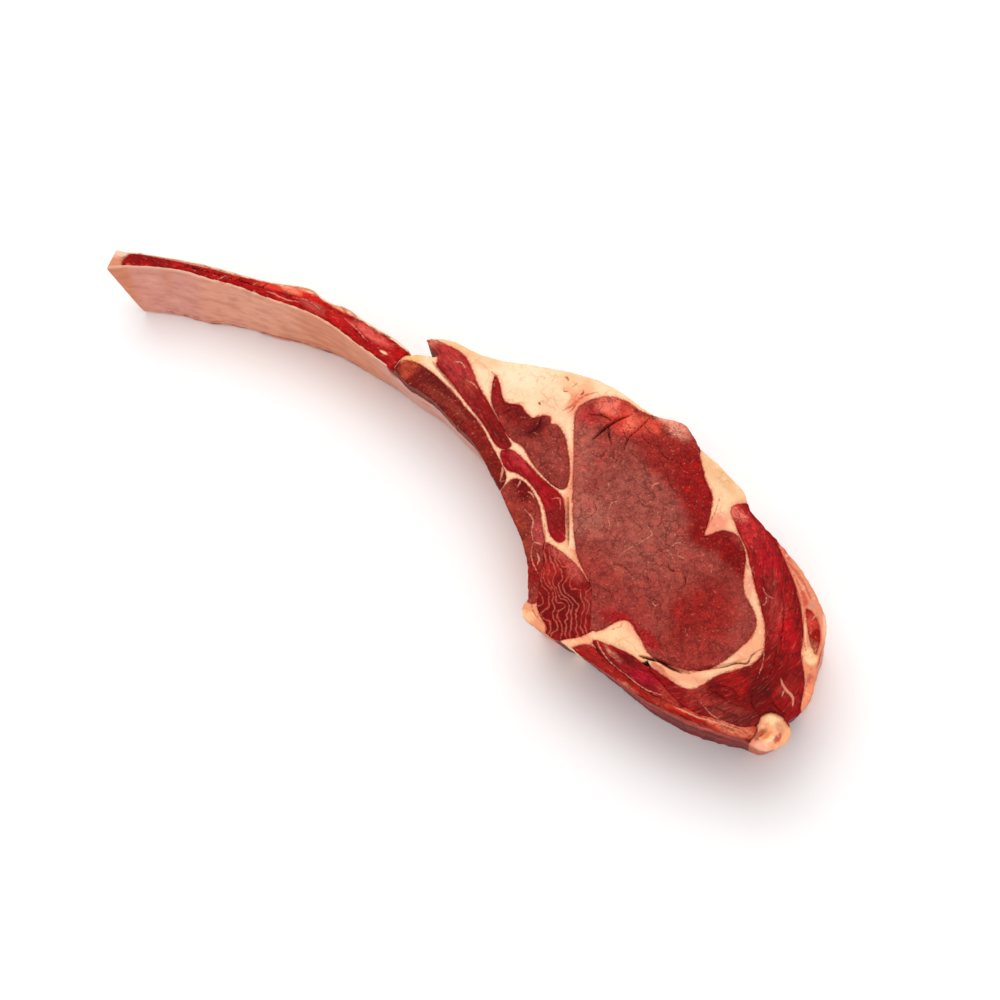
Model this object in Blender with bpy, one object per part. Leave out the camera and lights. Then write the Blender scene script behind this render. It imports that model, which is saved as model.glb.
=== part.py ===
"""A raw tomahawk steak: a thick slice of rib eye on its long, cleaned rib.

The steak lies flat, X along the rib with its tip at -X, Y across, Z up. It was sawn from the rib roast,
so it is a slab of even thickness: every muscle and every layer of fat that shows on its face runs through
to the underside as a piece of its own. Outlines are drawn in millimetres, as the top face shows them.
"""
import math

import bmesh
import bpy
import numpy as np

MM = 0.001
SHARP = math.radians(35)  # edges sharper than this are shaded sharp

# Driving dimensions, in millimetres.
THICKNESS = 45.0          # the slab, from the board it lies on to its top face
GAP = 0.3                 # between neighbouring pieces
RIB_GAP = 0.7             # between the rib and the meat round it
BOX_MIDDLE = (6.2, -4.3)  # of the whole steak, in the outlines' coordinates
SPAN_STEPS = 3            # straight pieces between two points of an outline
LONG_SPAN_STEPS = 2       # the same on the long outlines of the slab and the rib
RIM_RADIUS = 2.2          # the soft edge round the top face and round the underside
RIM_ROUND = 0.98          # how much of that quarter round is kept, so that it never ends level
RIM_REACH = 8.0           # how far in from the edge the flesh gives way to it
RIM_BAND = 0.7            # of a wall's reach, within which it has rings for the soft edge
RIM_STEP = 0.7            # from the face to the first ring
RIB_TOP = 33.0            # top of the rib where it lies under the meat
RIB_MEAT_DEPTH = 7.0      # of the strip of meat left on the bare rib
NECK_X = -51.5            # where the bare rib enters the meat
TIP_CUT_TOP = (-201.5, -52.0)     # the oblique saw cut of the rib's tip, at the top
TIP_CUT_SKEW = 0.35       # how far that cut turns from square to X
TIP_CUT_LEAN = 15.0       # how much further in it is at the underside
CREASE_DEPTH = 7.0        # of the crack between the two lobes of the eye
CREASE_WIDTH = 2.6
CREASE_TAPER = 0.12       # of its length, cut off the taper at each end

# The slab's sides lean: along X, how far the underside lies further to +Y than the top face. The far
# side leans less, and its edge is drawn in less, as the far share says. The tail's underside is tucked
# in to -X as well, all of it on the near side of the first Y and none of it beyond the second.
LEAN_X = (-190.0, -165.0, -143.0, -110.0, -83.0, -60.0, 55.0, 85.0, 115.0, 150.0, 172.0, 188.0, 202.0, 215.0)
LEAN_Y = (-2.0, -3.5, 0.0, 3.5, 7.5, 10.5, 10.5, 14.5, 14.0, 11.5, 9.8, 10.2, 11.4, 13.4)
LEAN_NEAR_Y, LEAN_FAR_Y, LEAN_FAR_SHARE = -20.0, 50.0, 0.3
TUCK, TUCK_FROM_X, TUCK_FULL_X, TUCK_NEAR_Y, TUCK_FAR_Y = 6.5, 160.0, 214.0, -20.0, 15.0
RIM_JOIN_X = -48.0        # here the edge passes from the rib to the meat
FAR_ALLOWANCE = 0.9       # the far edge is made this much fuller, for what the soft edge takes off

# A cutter runs past what it cuts, each kind by its own amount, so that no two of their faces coincide.
SLAB_PAST, ROOM_PAST, TROUGH_PAST, RIB_PAST, NECK_PAST = 3.0, 4.0, 5.0, 6.0, 8.0
MEAT_NEAR_Y, MEAT_FAR_Y, MEAT_RIGHT_X = -90.0, 40.0, 110.0    # wider than the rib lies under the meat
WELD = 2e-5               # metres, points closer than this are one

# The edge of the meat, from the neck along the hollow near side and back along the fat far side.
SLAB = [
    (-53.5, -5), (-52, -8.5), (-48.5, -10.5), (-40, -12), (-30, -10.9), (-20, -11.5), (-8, -14),
    (4, -15.4), (12, -18), (20, -21.7), (31, -26.7), (46, -34.6), (58, -41.3), (68, -49.6),
    (74, -56.8), (78.5, -62), (79.5, -67), (83.5, -70.8), (90, -71.4), (97, -70.2), (112, -68.2),
    (130, -67.3), (150, -66.3), (164, -63.5), (180, -59), (192, -55), (200, -52.2), (206.5, -51.8),
    (211.5, -49), (214.6, -43.5), (214.4, -38), (212, -34.3), (209.8, -32.2), (211.4, -27),
    (211.3, -19), (208.3, -11), (204.5, -3.5), (201, 4), (197.5, 12), (192, 19.5), (185, 24.3),
    (176, 29), (165, 33.3), (152, 36.5), (141, 38.8), (130, 41.8), (124, 46.3), (112, 49.2),
    (100, 51.2), (93, 51.6), (86, 54.9), (78.5, 57.2), (72, 54.8), (65, 51.6), (54, 51.2),
    (42, 50.9), (32, 49.2), (20, 44.7), (8, 38.7), (-4, 31.8), (-14, 26.3), (-24, 22.5),
    (-34, 20.8), (-41, 18.3), (-47.8, 12.4), (-43, 10.9), (-38.8, 9.4), (-39.2, 7.2), (-43, 5.2),
    (-47, 2.2), (-51, -0.6)]

# The rib: its near side, which is the hollow inner face of the rib cage, and its far side.
RIB_NEAR = [
    (-196.5, -56.5), (-188, -50), (-178, -42.8), (-168, -36.8), (-155, -32), (-142, -26.2),
    (-128, -22.2), (-115, -17.6), (-102, -13.8), (-90, -12.2), (-75, -12.2), (-60, -12),
    (-48.5, -11.8), (-40, -12), (-30, -10.9), (-20, -11.5), (-8, -14), (4, -15.4), (12, -18),
    (20, -21.7), (31, -26.7), (46, -34.6), (58, -41.3), (68, -49.6), (74, -56.8)]
RIB_FAR = [
    (80, -54), (73, -44), (62, -33), (46, -24.5), (31, -17), (18, -11.5), (4, -5.6), (-14, -2),
    (-32, 0.2), (-51, 2.6), (-60, 3.6), (-68, 2.7), (-80, 1.5), (-90, 1.6), (-97, -1.0),
    (-104, -2.1), (-110, -1.4), (-115, -2.9), (-121, -6.4), (-130, -11.8), (-145, -18.4),
    (-160, -24.4), (-175, -31.8), (-190, -39.6), (-203.5, -47.0)]
RIB_MEAT = [  # runs on past the neck, where it is cut off
    (-194, -52.5), (-186, -46.9), (-176, -40), (-167, -35), (-154, -30), (-141.5, -24.6),
    (-127, -20.4), (-114, -15.8), (-101, -12), (-89, -10.6), (-75, -10.6), (-60, -10.4),
    (-45, -10.3), (-45, 0.2), (-60, 1.6), (-68, 1.3), (-80, 0.1), (-91, 0.2),
    (-98, -2.4), (-104, -3.4), (-110, -2.9), (-115, -4.6), (-122, -8.6), (-132, -14.2),
    (-146, -20.6), (-161, -26.6), (-176, -34.1), (-190, -41.4), (-196, -45.6)]

# The muscles on the face. Where one reaches the edge of the slab its outline runs on past it.
EYE = [
    (33.5, 32), (37, 24.5), (48, 11), (59, -3.5), (69, -15.5), (79, -26), (85, -31), (97, -37.2),
    (103, -44), (109, -52), (112.5, -54.5), (115.5, -51), (117, -46), (119, -42), (123, -40),
    (132, -43.2), (141, -47), (150, -45.2), (158, -42), (164, -37), (167.5, -31), (169.6, -22),
    (171, -11), (169.5, -4), (165, 0.8), (155, 6), (150, 12), (145, 20), (139, 25.6), (133.5, 27.3),
    (127.5, 24.5), (122.5, 17), (119, 25), (112.5, 36), (105, 40.8), (94, 50.3), (90, 58),
    (79, 61), (70, 58), (64, 52.2), (57, 50), (49, 49.6), (42, 46.8), (36.5, 41)]
MARBLED = [
    (66.5, -34.6), (73, -33.4), (84, -34), (97, -37.6), (109, -46), (112, -54), (109, -62),
    (105, -67), (101, -74), (97, -74), (95, -67.8), (89, -64.8), (84, -61.2), (80, -55.2),
    (76, -49.3), (73.2, -43.7), (69.8, -39)]
WEDGE = [
    (-9.5, 19), (-5, 17), (0, 13), (4, 11), (8, 13), (11, 14.6), (15, 13.3), (19.5, 13),
    (22, 16.5), (25.5, 19), (28.5, 16.3), (31.5, 17.8), (38, 15.3), (43.5, 10.5), (51, 3),
    (55.6, -5), (52.5, -7.8), (45, -7.7), (35, -5.5), (26, -1.8), (17, -2), (6, 2.9), (-1.5, 7.5)]
STRIP = [
    (22, -7.4), (29, -6.9), (42, -9), (55, -10), (61, -13), (69, -22.5), (72.6, -27.4),
    (70.5, -30), (65, -28.7), (57, -22), (49, -17.1), (40, -14.3), (33, -14.7), (28, -16.1),
    (22.5, -13.8), (19.8, -10.5)]
FLAP = [
    (-52, 13.5), (-43, 10.8), (-37.2, 8.8), (-35.5, 5.8), (-28, 4), (-14, 0), (0, -3.7),
    (8, -6.3), (14, -9.1), (19, -9), (21, -5.4), (14, -1.6), (6, 2), (-6, 7), (-15, 11),
    (-21, 14.8), (-26, 17.3), (-32, 18.3), (-40, 16.8)]
INTERCOSTAL = [
    (-50.3, -6), (-48.5, -2.3), (-43, -0.1), (-32, 0.3), (-20, -1), (-8, -4), (2, -6),
    (14, -11.6), (26, -17), (30.6, -21), (32, -28), (31, -34), (18, -27), (4, -21), (-12, -18),
    (-30, -16), (-46, -17), (-50, -11)]
RIB_END = [
    (33.2, -20), (36, -16.7), (43, -17), (52, -21.4), (60, -28.8), (68.5, -36.5), (77.5, -50),
    (82.8, -60.3), (77.5, -63), (70, -58), (54, -46), (40, -38), (33, -35), (32.8, -28)]
CAP = [
    (124.3, 36.5), (127, 43), (134, 46), (143, 43), (149.5, 38.6), (155, 34.6), (161, 31),
    (170, 25.3), (178, 18.8), (184, 12.8), (189.3, 6.5), (193.2, -0.5), (198, -5.6), (202.5, -10),
    (206.5, -16), (210.5, -23), (214, -27),
    (213, -33), (209.5, -32.3), (205.5, -31.3), (200.5, -33), (198.2, -37.5), (199.2, -42.5),
    (195, -47.4), (184, -52), (172, -56.8), (162, -56.3), (150, -53.8), (144, -52.3),
    (150, -51.5), (161, -50.5), (167.2, -47), (171, -35.5), (175.5, -28), (180, -20), (180, -11.5),
    (174, -2), (165, 6), (153, 15.7), (143, 24.2), (135, 29)]
LOWER = [
    (116, -58.6), (122, -56), (131, -53.5), (142, -52.2), (154, -53), (169, -57.6),
    (158, -61), (145, -62.5), (130, -62.4), (120, -60.8)]
EDGE = [
    (115, -62.2), (121, -61.5), (130, -62.8), (145, -63), (158, -61.4), (170, -56.5), (182, -50.5),
    (194, -45.5), (200.5, -43.5), (202, -53), (203, -58), (180, -66), (150, -73), (120, -74),
    (109, -74), (111, -68)]
RIM_MUSCLE = [
    (182.8, 18.6), (187.5, 18.2), (192.5, 15), (196.8, 10), (200, 3.4), (198, 4.2), (194.2, 6.6),
    (190.3, 10), (186.3, 14.2)]

# The fat. It fills what the muscles leave, so an outline only says which stretch a piece covers.
TAIL_FAT = [
    (199.6, -34.5), (204, -29), (210, -29), (217, -33), (219, -42), (215, -52), (206, -55),
    (201.6, -53.2), (200, -46), (199.6, -42), (198.4, -38)]
CORNER_FAT = [
    (77, -60), (83.5, -59), (89, -62.5), (96, -67), (97.3, -74), (84, -75), (75, -70)]
RIM_FAT = [
    (147, 41), (156, 42), (175, 37), (193, 27), (205, 8), (214, -10), (216, -24),
    (210, -24.5), (203, -17), (190, -1), (172, 17), (158, 28), (150, 34)]
LOWER_FAT = [
    (108, -58), (113, -48), (118, -38), (128, -36), (142, -46.5), (140.8, -50), (137, -55),
    (124, -60), (116, -61.5), (114, -66), (111, -74), (102, -74), (104, -66)]
SIDE_FAT = [
    (88, 54), (110, 53), (127, 48), (129.5, 41), (150, 26), (175, 4), (186, -15), (178, -33),
    (172, -50), (158, -53), (142.6, -51), (143, -46), (156, -32), (155, -6), (138, 12), (122, 8),
    (105, 34)]
FAT_CAP = [
    (-56, 11), (-50, 20), (-20, 32), (20, 52), (50, 55), (65, 56), (68, 50), (45, 30), (70, 0),
    (97.8, -34), (98.2, -39.5), (84, -40), (70, -46), (64, -38), (48, -26), (40, -24),
    (32.2, -29.5), (28, -20), (0, -12), (-30, -8), (-49, -13), (-57, -5)]
CREASE = [(49.5, 24), (50, 31), (51.5, 38), (54.5, 45)]

FLESH = {"roughness": 0.45, "subsurface": 0.1}
COLOURS = {
    "rib_bone": (0.52, 0.23, 0.17), "rib_meat": (0.55, 0.05, 0.03), "eye_muscle": (0.29, 0.07, 0.05),
    "cap_muscle": (0.33, 0.03, 0.03), "marbled_muscle": (0.26, 0.03, 0.03),
    "wedge_muscle": (0.28, 0.07, 0.05), "strip_muscle": (0.30, 0.02, 0.03),
    "flap_muscle": (0.33, 0.05, 0.04), "intercostal_muscle": (0.22, 0.03, 0.02),
    "rib_end_muscle": (0.28, 0.05, 0.04), "lower_muscle": (0.31, 0.02, 0.03),
    "edge_muscle": (0.28, 0.02, 0.02), "rim_muscle": (0.32, 0.04, 0.03),
    "tail_fat": (0.85, 0.38, 0.20), "corner_fat": (0.88, 0.50, 0.31), "rim_fat": (0.80, 0.35, 0.22),
    "lower_fat": (0.93, 0.56, 0.34), "side_fat": (0.93, 0.58, 0.38), "fat_cap": (0.96, 0.68, 0.44)}


def clear_scene():
    for thing in list(bpy.data.objects):
        bpy.data.objects.remove(thing, do_unlink=True)


def collection(name):
    group = bpy.data.collections.new(name)
    bpy.context.scene.collection.children.link(group)
    return group


def smooth_loop(points, steps=SPAN_STEPS):
    """A closed Catmull-Rom curve through the points, as an array of points along it."""
    here = np.array(points, dtype=float)
    before, after, beyond = (np.roll(here, shift, axis=0)[:, None] for shift in (1, -1, -2))
    here = here[:, None]
    t = (np.arange(steps) / steps)[None, :, None]
    curve = 0.5 * (2 * here + (after - before) * t
                   + (2 * before - 5 * here + 4 * after - beyond) * t ** 2
                   + (3 * here - before - 3 * after + beyond) * t ** 3)
    return curve.reshape(-1, 2)


def grown(loop, distance):
    """The loop moved outwards by a distance, square to its own direction at each point."""
    along = np.roll(loop, -1, axis=0) - np.roll(loop, 1, axis=0)
    normal = np.stack([along[:, 1], -along[:, 0]], axis=1)
    normal /= np.linalg.norm(normal, axis=1)[:, None]
    ahead = np.roll(loop, -1, axis=0)
    area = np.sum(loop[:, 0] * ahead[:, 1] - ahead[:, 0] * loop[:, 1])
    return loop + normal * distance * np.sign(area)


def fuller(loop):
    """The loop with its far side moved outwards by FAR_ALLOWANCE, fading out where it turns to X."""
    out = grown(loop, 1.0) - loop
    return loop + out * np.clip(out[:, 1:] * 2 + 0.5, 0, 1) * (loop[:, :1] > RIM_JOIN_X) * FAR_ALLOWANCE


def plate(name, loop, low, high, group):
    """A flat outline as a 2D curve, extruded to the heights given, then made a closed mesh."""
    curve = bpy.data.curves.new(name, "CURVE")
    curve.dimensions = "2D"
    curve.fill_mode = "BOTH"
    curve.extrude = (high - low) / 2 * MM
    spline = curve.splines.new("POLY")
    spline.points.add(len(loop) - 1)
    corners = np.zeros((len(loop), 4))
    corners[:, :2] = (loop - np.array(BOX_MIDDLE)) * MM
    corners[:, 3] = 1.0
    spline.points.foreach_set("co", corners.ravel())
    spline.use_cyclic_u = True
    drawn = bpy.data.objects.new(name, curve)
    drawn.location.z = (high + low) / 2 * MM
    group.objects.link(drawn)
    bpy.context.view_layer.update()
    mesh = bpy.data.meshes.new_from_object(drawn.evaluated_get(bpy.context.evaluated_depsgraph_get()))
    mesh.transform(drawn.matrix_world)
    bpy.data.objects.remove(drawn, do_unlink=True)
    weld(mesh)
    mesh.name = name
    solid = bpy.data.objects.new(name, mesh)
    group.objects.link(solid)
    return solid


def face_outwards(work):
    """Points every face of a closed mesh outwards, going by the sign of its volume."""
    bmesh.ops.recalc_face_normals(work, faces=work.faces)
    if work.calc_volume(signed=True) < 0:
        bmesh.ops.reverse_faces(work, faces=work.faces)


def weld(mesh):
    """Closes the caps, joins their triangles into one face each and points every face outwards."""
    work = bmesh.new()
    work.from_mesh(mesh)
    bmesh.ops.remove_doubles(work, verts=work.verts, dist=1e-6)
    bmesh.ops.dissolve_limit(work, angle_limit=math.radians(0.1), verts=[], edges=work.edges)
    face_outwards(work)
    work.to_mesh(mesh)
    work.free()


def hide_cutter(solid):
    solid.hide_render = True
    solid.display_type = "WIRE"


def cut(solid, other, operation="DIFFERENCE"):
    """Cuts the solid with the other one, at once."""
    step = solid.modifiers.new("cut", "BOOLEAN")
    step.operation = operation
    step.solver = "EXACT"
    step.object = other
    bpy.context.view_layer.update()
    mesh = bpy.data.meshes.new_from_object(solid.evaluated_get(bpy.context.evaluated_depsgraph_get()))
    solid.modifiers.clear()
    old, solid.data = solid.data, mesh
    bpy.data.meshes.remove(old)


def keep_largest(work):
    """Drops the loose scraps that a cut left, and keeps the body with the most volume."""
    left = set(work.verts)
    bodies = []
    while left:
        body, edge = set(), [left.pop()]
        while edge:
            vert = edge.pop()
            body.add(vert)
            for link in vert.link_edges:
                other = link.other_vert(vert)
                if other in left:
                    left.remove(other)
                    edge.append(other)
        bodies.append(body)
    span = [max(v.co.x for v in body) - min(v.co.x for v in body) for body in bodies]
    keep = bodies[span.index(max(span))]
    bmesh.ops.delete(work, geom=[v for v in work.verts if v not in keep], context="VERTS")


def edge_distance(points, loop):
    """Each point's distance to the loop, and the direction from the nearest spot on it to the point."""
    ahead = np.roll(loop, -1, axis=0) - loop
    offset = points[:, None] - loop[None]
    share = np.sum(offset * ahead[None], axis=2) / np.sum(ahead ** 2, axis=1)[None]
    away = offset - np.clip(share, 0, 1)[:, :, None] * ahead[None]
    length = np.linalg.norm(away, axis=2)
    nearest = np.argmin(length, axis=1)
    rows = np.arange(len(points))
    return length[rows, nearest], away[rows, nearest]


def inside(points, loop):
    """True for each point that the loop goes round, by counting the sides to its right."""
    a, b = loop[None], np.roll(loop, -1, axis=0)[None]
    x, y = points[:, :1], points[:, 1:]
    spans = (a[:, :, 1] > y) != (b[:, :, 1] > y)
    rise = np.where(b[:, :, 1] == a[:, :, 1], 1.0, b[:, :, 1] - a[:, :, 1])
    crossing = a[:, :, 0] + (y - a[:, :, 1]) / rise * (b[:, :, 0] - a[:, :, 0])
    return np.sum(spans & (x < crossing), axis=1) % 2 == 1


def shaped(points, rim):
    """Moves points of the upright slab to where the real one has them.

    Near the rim a point moves inwards by a quarter round at the top face and at the underside, fading
    over RIM_REACH. Then its depth below the top face leans it to +Y, and at the tail to -X too.
    """
    flat, height = points[:, :2].copy(), points[:, 2]
    share = np.interp(flat[:, 1], (LEAN_NEAR_Y, LEAN_FAR_Y), (1.0, LEAN_FAR_SHARE))
    from_face = np.minimum(height, THICKNESS - height)
    depth = np.clip(1 - from_face / RIM_RADIUS, 0, 1)
    give = RIM_RADIUS * (1 - np.sqrt(1 - depth ** 2 * RIM_ROUND)) * share
    distance, away = edge_distance(flat, rim)
    within = inside(flat, rim)
    length = np.maximum(np.linalg.norm(away, axis=1), 1e-6)[:, None]
    inward = np.where(within[:, None], away, -away) / length
    on_edge = distance <= 0.01
    inward[on_edge] = rim_normal(flat[on_edge], rim)
    fade = np.clip(1 - distance / RIM_REACH, 0, 1) ** 2
    flat += inward * (give * fade)[:, None]
    below = 1 - height / THICKNESS
    tuck = np.interp(flat[:, 1], (TUCK_NEAR_Y, TUCK_FAR_Y), (TUCK, 0.0))
    tuck *= np.interp(flat[:, 0], (TUCK_FROM_X, TUCK_FULL_X), (0.0, 1.0)) ** 2
    flat[:, 1] += np.interp(flat[:, 0], LEAN_X, LEAN_Y) * below * share
    flat[:, 0] -= tuck * below
    return np.column_stack([flat, height])


def rim_normal(points, loop):
    """The loop's inward direction at its corner nearest to each point."""
    along = np.roll(loop, -1, axis=0) - np.roll(loop, 1, axis=0)
    normal = np.stack([-along[:, 1], along[:, 0]], axis=1)
    ahead = np.roll(loop, -1, axis=0)
    normal *= np.sign(np.sum(loop[:, 0] * ahead[:, 1] - ahead[:, 0] * loop[:, 1]))
    normal /= np.linalg.norm(normal, axis=1)[:, None]
    gaps = np.linalg.norm(points[:, None] - loop[None], axis=2)
    return normal[np.argmin(gaps, axis=1)]


def finish(solid, rim):
    """Adds rings of points along the rim, gives the solid its real shape and its own material."""
    work = bmesh.new()
    work.from_mesh(solid.data)
    bmesh.ops.remove_doubles(work, verts=work.verts, dist=WELD)
    bmesh.ops.dissolve_degenerate(work, edges=work.edges, dist=WELD)
    keep_largest(work)
    heights = (RIM_STEP, RIM_RADIUS, THICKNESS - RIM_RADIUS, THICKNESS - RIM_STEP)
    middle = np.array(BOX_MIDDLE)
    for height in heights:
        walls = []
        for face in work.faces:
            corners = np.array([v.co[:2] for v in face.verts]) / MM + middle
            near = edge_distance(corners, rim)[0].min()
            if abs(face.normal.z) < 0.5 and near < RIM_REACH * RIM_BAND:
                walls.append(face)
        geom = list({e for f in walls for e in f.edges}) + list({v for f in walls for v in f.verts}) + walls
        bmesh.ops.bisect_plane(work, geom=geom, plane_co=(0, 0, height * MM), plane_no=(0, 0, 1))
    work.verts.ensure_lookup_table()
    points = np.array([v.co for v in work.verts]) / MM
    points[:, :2] += middle
    points = shaped(points, rim)
    points[:, :2] -= middle
    for vert, place in zip(work.verts, points * MM):
        vert.co = place
    face_outwards(work)
    work.to_mesh(solid.data)
    work.free()
    solid.data.shade_smooth()
    solid.data.set_sharp_from_angle(angle=SHARP)
    solid.data.materials.clear()
    solid.data.materials.append(material(solid.name))


def material(name):
    paint = bpy.data.materials.new(name)
    paint.use_nodes = True
    shader = paint.node_tree.nodes["Principled BSDF"]
    shader.inputs["Base Color"].default_value = (*COLOURS[name], 1.0)
    shader.inputs["Roughness"].default_value = FLESH["roughness"]
    shader.inputs["Metallic"].default_value = 0.0
    shader.inputs["Subsurface Weight"].default_value = FLESH["subsurface"]
    paint.diffuse_color = (*COLOURS[name], 1.0)
    return paint


def build_rib(parts, cutters, rim):
    """The rib stands on edge: bare and full height outside the meat, lower under it.

    A strip of meat lies in a trough along the bare rib's upper edge, and the tip is sawn off obliquely.
    """
    loop = smooth_loop(RIB_NEAR + RIB_FAR, LONG_SPAN_STEPS)
    bone = plate("rib_bone", loop, 0.0, THICKNESS, parts)
    room = plate("room_for_meat", right_of(NECK_X), RIB_TOP, THICKNESS + TROUGH_PAST, cutters)
    strip_loop = smooth_loop(RIB_MEAT, LONG_SPAN_STEPS)
    floor = THICKNESS - RIB_MEAT_DEPTH
    trough = plate("trough", grown(strip_loop, GAP), floor - GAP, THICKNESS + TROUGH_PAST, cutters)
    meat = plate("rib_meat", strip_loop, floor, THICKNESS, parts)
    for cutter in (room, trough):
        hide_cutter(cutter)
        cut(bone, cutter)
    cut(meat, room)
    slice_tip(bone)
    under = plate("rib_under_meat", grown(loop, RIB_GAP), -TROUGH_PAST, RIB_TOP + RIB_GAP, cutters)
    bare = plate("bare_rib", grown(loop, RIB_GAP), -RIB_PAST, THICKNESS + RIB_PAST, cutters)
    bare_end = plate("bare_rib_end", right_of(NECK_X + RIB_GAP), -NECK_PAST, THICKNESS + NECK_PAST, cutters)
    cut(bare, bare_end)
    for cutter in (under, bare, bare_end):
        hide_cutter(cutter)
    finish(bone, rim)
    finish(meat, rim)
    return [under, bare]


def right_of(x):
    """The outline of a plate over everything that the rib has to the right of x."""
    return np.array([(x, MEAT_NEAR_Y), (MEAT_RIGHT_X, MEAT_NEAR_Y),
                     (MEAT_RIGHT_X, MEAT_FAR_Y), (x, MEAT_FAR_Y)])


def slice_tip(bone):
    """Saws the tip off with a plane that leans in towards the underside."""
    work = bmesh.new()
    work.from_mesh(bone.data)
    x, y = np.array(TIP_CUT_TOP) - np.array(BOX_MIDDLE)
    normal = (-1.0, -TIP_CUT_SKEW, -TIP_CUT_LEAN / THICKNESS)
    geom = work.verts[:] + work.edges[:] + work.faces[:]
    result = bmesh.ops.bisect_plane(work, geom=geom, plane_co=(x * MM, y * MM, THICKNESS * MM),
                                    plane_no=normal, clear_outer=True)
    rim = [item for item in result["geom_cut"] if isinstance(item, bmesh.types.BMEdge)]
    bmesh.ops.contextual_create(work, geom=rim)
    face_outwards(work)
    work.to_mesh(bone.data)
    work.free()


def crack_eye(eye, cutters):
    """Cuts the crease between the lobes of the eye: a wedge, widest at the face."""
    path = np.array(CREASE)
    along = np.gradient(path, axis=0)
    side = np.stack([-along[:, 1], along[:, 0]], axis=1)
    side /= np.linalg.norm(side, axis=1)[:, None]
    taper = np.sin(np.linspace(CREASE_TAPER, 1 - CREASE_TAPER, len(path)) * math.pi)[:, None]
    half = side * taper * CREASE_WIDTH / 2
    loop = np.concatenate([path + half, (path - half)[::-1]])
    wedge = plate("crease", smooth_loop(loop, LONG_SPAN_STEPS), THICKNESS - CREASE_DEPTH,
                  THICKNESS + SLAB_PAST, cutters)
    hide_cutter(wedge)
    cut(eye, wedge)


def main():
    clear_scene()
    parts = collection("tomahawk_steak")
    cutters = collection("cutters")
    slab_loop = fuller(smooth_loop(SLAB, LONG_SPAN_STEPS))
    bare_near = [point for point in RIB_NEAR if point[0] < RIM_JOIN_X]
    bare_far = [point for point in RIB_FAR if point[0] < RIM_JOIN_X]
    rim = fuller(smooth_loop(bare_near + SLAB[3:-1] + bare_far, LONG_SPAN_STEPS))
    slab = plate("slab", slab_loop, -SLAB_PAST, THICKNESS + SLAB_PAST, cutters)
    hide_cutter(slab)
    earlier = build_rib(parts, cutters, rim)
    flesh = {
        "eye_muscle": EYE, "cap_muscle": CAP, "marbled_muscle": MARBLED, "wedge_muscle": WEDGE,
        "strip_muscle": STRIP, "flap_muscle": FLAP, "intercostal_muscle": INTERCOSTAL,
        "rib_end_muscle": RIB_END, "lower_muscle": LOWER, "edge_muscle": EDGE, "rim_muscle": RIM_MUSCLE,
        "tail_fat": TAIL_FAT, "corner_fat": CORNER_FAT, "rim_fat": RIM_FAT, "lower_fat": LOWER_FAT,
        "side_fat": SIDE_FAT, "fat_cap": FAT_CAP}
    for name, points in flesh.items():
        loop = smooth_loop(points)
        solid = plate(name, loop, 0.0, THICKNESS, parts)
        cut(solid, slab, "INTERSECT")
        for cutter in earlier:
            cut(solid, cutter)
        if name == "eye_muscle":
            crack_eye(solid, cutters)
        finish(solid, rim)
        room = plate(name + "_room", grown(loop, GAP), -ROOM_PAST, THICKNESS + ROOM_PAST, cutters)
        hide_cutter(room)
        earlier.append(room)


main()
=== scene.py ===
"""A raw tomahawk steak on a pale floor: the looks of each piece, over the solids of the frame."""
import math

import bmesh
import bpy
import numpy as np
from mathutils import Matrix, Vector
from mathutils.geometry import delaunay_2d_cdt


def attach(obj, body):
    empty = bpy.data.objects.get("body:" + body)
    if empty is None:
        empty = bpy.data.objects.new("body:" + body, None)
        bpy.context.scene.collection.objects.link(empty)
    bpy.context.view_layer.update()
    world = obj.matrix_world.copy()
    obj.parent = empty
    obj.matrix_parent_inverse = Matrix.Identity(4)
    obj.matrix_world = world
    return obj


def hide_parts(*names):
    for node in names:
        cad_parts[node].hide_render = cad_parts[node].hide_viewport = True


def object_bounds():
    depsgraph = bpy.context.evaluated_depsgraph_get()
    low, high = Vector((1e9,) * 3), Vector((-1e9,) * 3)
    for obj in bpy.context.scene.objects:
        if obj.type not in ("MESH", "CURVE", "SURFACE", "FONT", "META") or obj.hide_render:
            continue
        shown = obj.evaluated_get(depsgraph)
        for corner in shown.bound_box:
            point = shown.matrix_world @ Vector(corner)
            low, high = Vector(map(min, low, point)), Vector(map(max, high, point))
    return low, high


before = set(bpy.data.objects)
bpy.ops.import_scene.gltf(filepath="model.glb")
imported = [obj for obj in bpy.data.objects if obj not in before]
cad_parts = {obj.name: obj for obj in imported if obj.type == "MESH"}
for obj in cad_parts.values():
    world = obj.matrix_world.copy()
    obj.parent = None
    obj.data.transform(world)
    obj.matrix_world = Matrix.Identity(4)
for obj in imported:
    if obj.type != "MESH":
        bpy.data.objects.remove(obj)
cad_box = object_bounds()

# The floor, the light and the camera. The steak lies on a plain white table under one wide soft lamp,
# and is seen from above its hollow side, as the photograph shows it.
MM = 0.001
THICK = cad_box[1].z / MM
ZERO = np.array([6.2, -4.3])        # the steak's middle in the outlines' own coordinates, in mm
AIM = np.array([36.0, -31.0, THICK])
CAMERA_TURN, CAMERA_RISE = math.radians(40), math.radians(65)
CAMERA_FAR = 1.1333
LENS, SENSOR = 85.0, 36.0

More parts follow.
